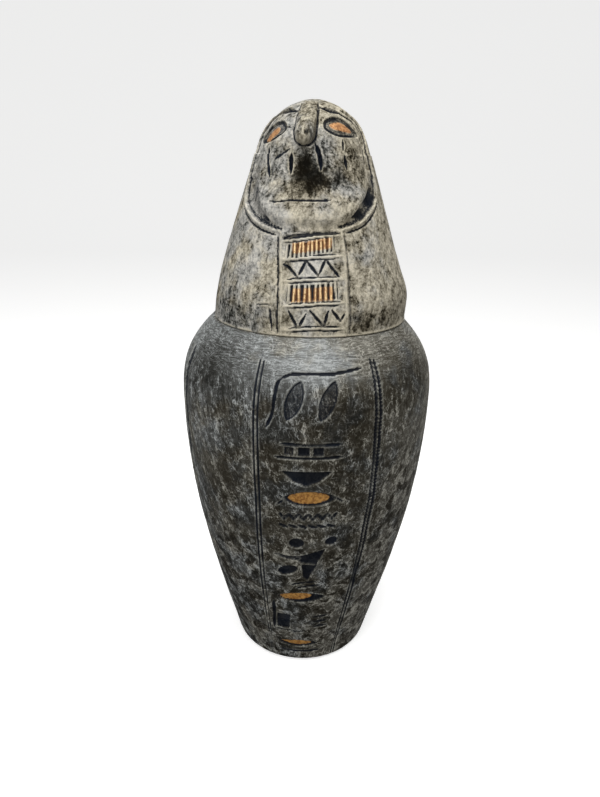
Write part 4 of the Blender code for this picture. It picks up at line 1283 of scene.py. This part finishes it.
def carve_collar(wall):
    """The broad collar between the two lappets: ribs, combs of bars and zigzags."""
    left, right = lid_line(COLLAR_LEFT), lid_line(COLLAR_RIGHT)
    wall.sunk(np.concatenate([left[::-1], right]), COLLAR_DEPTH, floor=0.0, burr=0.0, soft=True)
    wall.sunk(lid_line(NECK_BAND, True, 4), 1.2 * MM, floor=0.85, burr=0.3)
    for comb in COMBS:
        low, high, climb = comb["low"], comb["high"], comb["climb"]
        first, last = comb["ends"][0] - COMB_MARGIN, comb["ends"][1] + COMB_MARGIN
        corners = [(first, low - climb), (last, low + climb), (last, high + climb), (first, high - climb)]
        wall.sunk(straight_line(seen(corners), 6), 1.0 * MM, floor=1.0, burr=0.2)
    for rib in COLLAR_RIBS:
        line = lid_line(rib)
        wall.stroke(line, 2.9 * MM, 0.9 * MM, 0.3, dark=0.95)
        wall.ridge(line, 1.2 * MM, 0.18 * MM, 1.0)
    for comb in COMBS:
        carve_comb(wall, comb)
    for path in ZIGZAGS:
        wall.stroke(lid_line(path), 1.5 * MM, 1.0 * MM, 0.6, ends=0.6)
    for line in (left, right):
        wall.ridge(line, HEM_WIDTH * 0.85, HEM_RISE, 0.85)
    for path, aside, width, dark in ((COLLAR_LEFT, -2.2, 0.9, 0.85), (COLLAR_RIGHT, 2.2, 1.1, 0.45)):
        outer = [(angle + aside, share) for angle, share in path[1:]]
        wall.stroke(lid_line(outer), width * MM, 0.8 * MM, 0.3, dark=dark)


def carve_face(wall):
    """Jaw, hem, eyes, brows, cheek marks and mouth."""
    right, left = smooth_line(hem_path(1)[:9]), smooth_line(hem_path(-1)[:9])
    recess = np.concatenate([lid_line(JAW_LINE), right[::-1], left])
    wall.sunk(recess, RECESS_DEPTH, wall=RECESS_WALL, floor=0.30, burr=0.0, soft=True)
    # Painted shade darkens the deeper cuts in the recesses beside the cheeks and under the chin
    painted_shade = np.clip(spots(wall.angle - SEEN_TURN, wall.height / LID_HEIGHT, LID_PAINTED_SHADE), 0.0, 1.0)
    lift(wall.dark, slice(None), ease(wall.cut, 0.25 * MM, 0.8 * MM) * painted_shade)
    for side in (-1, 1):
        path = hem_path(side)
        under = 1 - ease(path[:, 1] / LID_HEIGHT, 0.5, 0.62)
        outer = np.stack([path[:, 0] + side * 2.3, path[:, 1] - 1.4 * MM * under], axis=1)
        inner = np.stack([path[:, 0] - side * 2.1, path[:, 1] + 1.2 * MM * under], axis=1)
        wall.stroke(smooth_line(outer), 1.0 * MM, 0.9 * MM, 0.5, dark=0.85)
        wall.stroke(smooth_line(inner), 0.9 * MM, 0.5 * MM, 0.0, dark=0.75)
        wall.ridge(smooth_line(path), HEM_WIDTH, HEM_RISE, 0.6)
    for outline in (EYE_LEFT, EYE_RIGHT):
        line = lid_line(outline, True)
        wall.sunk(line, 1.0 * MM, wall=0.7 * MM, floor=0.50, burr=0.6)
        wall.stroke(np.concatenate([line, line[:1]]), 1.6 * MM, 1.4 * MM, 0.5, 1.0)
    for outline in (IRIS_LEFT, IRIS_RIGHT):
        wall.paint(lid_line(outline, True), 1.0)
    for path, width, depth, burr, dark in FACE_STROKES + SCRATCHES:
        wall.stroke(lid_line(path), width * MM, depth * MM, burr, dark=dark)


def lid_base():
    """Radius and height above the seat of the uncarved rows under the lid: its plug and flat underside."""
    return [
        (PLUG_RADIUS * 0.6, -PLUG_LENGTH),
        (PLUG_RADIUS - PLUG_CHAMFER, -PLUG_LENGTH),
        (PLUG_RADIUS, PLUG_CHAMFER - PLUG_LENGTH),
        (PLUG_RADIUS, 0.0),
        (0.5 * (PLUG_RADIUS + LID_RADIUS), 0.0),
    ]


# The lid's closely divided front in degrees and its columns, and the columns at its sides and back
LID_FRONT = (-72.0, 64.0, 273)
LID_SIDES = ((-98.0, -72.5, 1.0), (65.0, 93.0, 1.0))
LID_BACK = (94.0, 260.0, 84)


def make_lid(material):
    """The lid's skin: a plug and flat underside below, and the carved head above."""
    heights = even_rows(lid_outline, 0.0, LID_HEIGHT, LID_STEP)[:-1]
    base = lid_base()
    fine = np.concatenate([np.arange(*LID_SIDES[0]), np.linspace(*LID_FRONT), np.arange(*LID_SIDES[1])])
    skin = Skin(fine, np.linspace(*LID_BACK), 1 + len(base), heights, 1)
    wall = Carving(lid_point, skin, LID_SEEDS[0])
    angle, height = wall.angle, wall.height
    share = height / LID_HEIGHT
    carve_face(wall)
    carve_collar(wall)
    wall.stroke(beak_outline(), 2.2 * MM, 0.7 * MM, 0.3, dark=0.7)
    out, grain = worn_surface(wall, LID_SEEDS[1])
    edge = ease(height, 0.0, 2 * MM)
    crown = 1 - ease(share, 0.985, 0.999)
    point = wall.point + wall.normal * ((out * edge + wall.rise) * crown - wall.cut)[:, None]
    seat = JAR_HEIGHT + LID_LIFT
    point[:, 2] = np.clip(point[:, 2], seat, seat + LID_HEIGHT)
    rim = 1 - ease(height, 0.5 * MM, 1.3 * MM)
    lift(wall.light, slice(None), rim * ease(wall.patchy + 0.2 * ease(angle, -10.0, 25.0), 0.2, 0.6))
    points = np.zeros((len(skin.row), 3))
    skin.place_rings(points, enumerate(base, 1), seat, LID_SHIFT)
    points[0] = (LID_SHIFT, 0.0, seat - PLUG_LENGTH)
    points[-1] = (LID_SHIFT, 0.0, seat + LID_HEIGHT - SKIN_INSET)
    points[skin.on_wall] = point
    tone = LID_TONE + spots(angle - SEEN_TURN, share, LID_PATCHES)
    warm = 0.12 * np.sin(np.radians(angle)) + 0.02
    paint = (wall.dark, wall.light, wall.copper)
    fields = wall_fields(len(points), skin.on_wall, paint=paint, wear=(tone, warm, grain), zone=(0, 0, 0))
    piece = make_piece("lid_skin", points, skin.faces(), fields, material)
    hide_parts("lid")


# The beak's rounded tip, and the shares of its width and reach that it has lost at the root
TIP_ROUNDNESS = 2.6
ROOT_THINNING = 0.30
ROOT_SINKING = 0.90


def beak_section(share):
    """Half width and forward reach of the beak: thin at the brow, fullest just above its rounded tip."""
    half = BEAK_WIDTH / 2
    drop = np.clip((BEAK_SWELL - share) / (BEAK_SWELL - BEAK_TIP), 0.0, 1.0)
    climb = np.clip((share - BEAK_SWELL) / (BEAK_ROOT - BEAK_SWELL), 0.0, 1.0)
    width = half * np.sqrt(1 - 0.97 * drop**TIP_ROUNDNESS) * (1 - ROOT_THINNING * climb**2)
    reach = BEAK_REACH * (1 - drop**3) ** 0.6 * (1 - ROOT_SINKING * climb**1.3)
    return width, reach


def beak_outline():
    """Places on the face round the beak's foot, from its root down one side and up the other."""
    shares = np.linspace(BEAK_ROOT - 0.01, BEAK_TIP + 0.004, 24)
    half = beak_section(shares)[0]
    turn = np.degrees(half / lid_outline(shares * LID_HEIGHT))
    left = np.stack([BEAK_TURN - turn, shares * LID_HEIGHT], axis=1)
    right = np.stack([BEAK_TURN + turn, shares * LID_HEIGHT], axis=1)
    return np.concatenate([left, right[::-1]])


# Rows and columns of the beak, how deep its foot is sunk, and how far and from where its tip droops
BEAK_ROWS = 60
BEAK_COLUMNS = 72
BEAK_SINK = 0.35 * BEAK_REACH
BEAK_HOOK = 0.4 * MM
HOOK_START = 0.89
# Brushed grooves along the beak: their size across, forward and along it; and its finer roughness
GROOVES = (0.8 * MM, 1.3 * MM, 5.0 * MM)
GROOVE_DEPTH = 0.42 * MM
BEAK_GRAIN = 1.6 * MM
BEAK_TONE = -0.12
BEAK_WARMTH = 0.10


def beak_faces(rings):
    """The sides between a number of rings, and the ends, which close on two points after them."""
    sides = [(j, (j + 1) % BEAK_COLUMNS) for j in range(BEAK_COLUMNS)]
    end = rings * BEAK_COLUMNS
    faces = []
    for low in range(0, end - BEAK_COLUMNS, BEAK_COLUMNS):
        high = low + BEAK_COLUMNS
        faces += [(low + j, high + j, high + k, low + k) for j, k in sides]
    last = end - BEAK_COLUMNS
    for j, k in sides:
        faces += [(end, j, k), (end + 1, last + k, last + j)]
    return faces


def make_beak(material):
    """The beak, a rounded body that leaves the brow and hooks over the face in a blunt tip."""
    fall = ease(np.linspace(0, 1, BEAK_ROWS), -0.35, 1.0)
    shares = BEAK_ROOT + (BEAK_TIP - BEAK_ROOT) * fall
    shares = (shares - shares[0]) * (BEAK_TIP - BEAK_ROOT) / (shares[-1] - shares[0]) + BEAK_ROOT
    forward, across = around(BEAK_TURN, 1.0, 0.0), around(BEAK_TURN + 90, 1.0, 0.0)
    turn = np.linspace(0, 2 * np.pi, BEAK_COLUMNS, endpoint=False)
    lean = np.abs(np.sin(turn))
    rings = []
    for share in shares[:-1]:
        half, reach = beak_section(share)
        middle = lid_point(np.array([BEAK_TURN]), np.array([share * LID_HEIGHT]))[0]
        push = np.where(np.sin(turn) > 0, reach * lean**0.8, -BEAK_SINK * lean)
        ring = middle + np.outer(half * np.cos(turn), across) + np.outer(push - BEAK_SINK * 0.3, forward)
        ring[:, 2] -= BEAK_HOOK * ease(HOOK_START - share, 0.0, 0.06) * np.clip(np.sin(turn), 0, 1) ** 2
        rings.append(ring)
    points = np.concatenate(rings)
    top = np.mean(rings[0], axis=0) + np.array((0.0, 0.0, 0.2 * MM))
    tip = np.mean(rings[-1], axis=0) - np.array((0.0, 0.0, 0.3 * MM))
    normal = points - np.repeat([ring.mean(axis=0) for ring in rings], BEAK_COLUMNS, axis=0)
    normal /= np.maximum(np.linalg.norm(normal, axis=1), 1e-9)[:, None]
    turned = np.stack([points @ across, points @ forward, points[:, 2]], axis=1)
    hatch = rough_noise(turned, GROOVES, BEAK_SEEDS[0])
    rough = rough_noise(points, BEAK_GRAIN, BEAK_SEEDS[1])
    points += normal * (GROOVE_DEPTH * hatch + 0.18 * MM * rough - 0.15 * MM)[:, None]
    light = 0.6 * ease(hatch, 0.1, 0.6)
    # A pale band round the tip is a painted highlight
    light += 0.4 * bell(np.repeat(shares[:-1], BEAK_COLUMNS), BEAK_TIP + 0.010, 0.012)
    paint = (0.4 * ease(-hatch, 0.1, 0.5), light, 0)
    wear = (BEAK_TONE, BEAK_WARMTH, hatch)
    fields = wall_fields(len(points) + 2, slice(0, -2), paint=paint, wear=wear, zone=(0, 0, 0))
    fields["wear"][:, 1] = BEAK_WARMTH
    points = np.concatenate([points, [top, tip]])
    piece = make_piece("beak", points, beak_faces(len(rings)), fields, material)


# The floor runs this far to each side and behind, where it rises in a bend; it lies just under the jar
FLOOR_REACH = 3.0
FLOOR_BEND = 1.2
FLOOR_DROP = 0.05 * MM
BACKDROP_TOP = 3.0
FLOOR_GLOW = 0.55
FLOOR_COLOURS = ((0.84, 0.84, 0.83, 1.0), (0.86, 0.86, 0.85, 1.0))
WHITE = (1.0, 1.0, 1.0, 1.0)


def make_stage():
    """A wide pale floor that rises far behind into a plain backdrop."""
    g = Graph("studio_floor")
    speckle = g.grey(g.node("TexCoord", {}).outputs["Object"], 0.4, 2.0)
    g.shade(
        Base_Color=g.mix(speckle, *FLOOR_COLOURS),
        Roughness=0.9,
        Specular_IOR_Level=0.0,
        Emission_Color=WHITE,
        Emission_Strength=FLOOR_GLOW,
    )
    start = FLOOR_REACH - FLOOR_BEND
    profile = [(-FLOOR_REACH, 0.0), (start, 0.0)]
    for turn in np.linspace(0, np.pi / 2, 17)[1:]:
        profile.append((start + FLOOR_BEND * math.sin(turn), FLOOR_BEND * (1 - math.cos(turn))))
    profile.append((FLOOR_REACH, BACKDROP_TOP))
    points = [(x, y, z - FLOOR_DROP) for y, z in profile for x in (-FLOOR_REACH, FLOOR_REACH)]
    faces = [(2 * i, 2 * i + 1, 2 * i + 3, 2 * i + 2) for i in range(len(profile) - 1)]
    mesh = bpy.data.meshes.new("studio_floor")
    mesh.from_pydata(points, [], faces)
    mesh.shade_smooth()
    mesh.materials.append(g.material)
    floor = bpy.data.objects.new("studio_floor", mesh)
    bpy.context.scene.collection.objects.link(floor)
    floor.visible_diffuse = False
    floor.visible_glossy = False


# Soft lights above and in front: name, place, the point looked at, size and power
LIGHTS = (
    ("overhead", (0.0, -0.15, 0.95), (0.0, 0.0, 0.15), 0.8, 6.5),
    ("front", (-0.35, -0.75, 0.65), (0.0, 0.0, 0.18), 0.6, 3.2),
)
WORLD_LIGHT = 0.32


def make_light(name, place, aim, size, power):
    """A square soft light that looks at a point."""
    lamp = bpy.data.lights.new(name, "AREA")
    lamp.size = size
    lamp.energy = power
    thing = bpy.data.objects.new(name, lamp)
    thing.location = place
    thing.rotation_euler = (Vector(aim) - Vector(place)).to_track_quat("-Z", "Y").to_euler()
    bpy.context.scene.collection.objects.link(thing)


# The camera before it is turned to where the photograph was taken: degrees down and of roll, and its place
CAMERA_PITCH = 20.8
CAMERA_ROLL = 1.0
CAMERA_PLACE = (-0.00327, -0.314, 0.2685)
FILM = 36.0
FRAME_SHAPE = 600 / 797


def make_camera():
    """The photograph's camera: close, a little above the lid's middle, looking down at the jar."""
    pitch, roll = math.radians(CAMERA_PITCH), math.radians(CAMERA_ROLL)
    ahead = Vector((0, math.cos(pitch), -math.sin(pitch)))
    up = Vector((0, math.sin(pitch), math.cos(pitch)))
    right = Vector((1, 0, 0))
    side = math.cos(roll) * right + math.sin(roll) * up
    over = math.cos(roll) * up - math.sin(roll) * right
    spin = Matrix.Rotation(math.radians(SEEN_TURN), 3, "Z")
    lens = bpy.data.cameras.new("photo_camera")
    lens.sensor_width = FILM
    lens.lens = FILM * FRAME_SHAPE
    lens.clip_start = 0.01
    camera = bpy.data.objects.new("photo_camera", lens)
    turned = spin @ Matrix((side, over, -ahead)).transposed()
    camera.matrix_world = Matrix.Translation(spin @ Vector(CAMERA_PLACE)) @ turned.to_4x4()
    bpy.context.scene.collection.objects.link(camera)
    bpy.context.scene.camera = camera


def make_world():
    """An even white surround."""
    world = bpy.data.worlds.new("studio")
    bpy.context.scene.world = world
    world.use_nodes = True
    back = world.node_tree.nodes["Background"]
    back.inputs["Color"].default_value = WHITE
    back.inputs["Strength"].default_value = WORLD_LIGHT


def main():
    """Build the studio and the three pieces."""
    bpy.context.scene.view_settings.view_transform = "Standard"
    make_camera()
    make_world()
    make_stage()
    for light in LIGHTS:
        make_light(*light)
    make_jar(stone_paint("jar_stone", JAR_LOOK))
    make_lid(stone_paint("lid_stone", LID_LOOK))
    make_beak(stone_paint("beak_stone", BEAK_LOOK))


main()
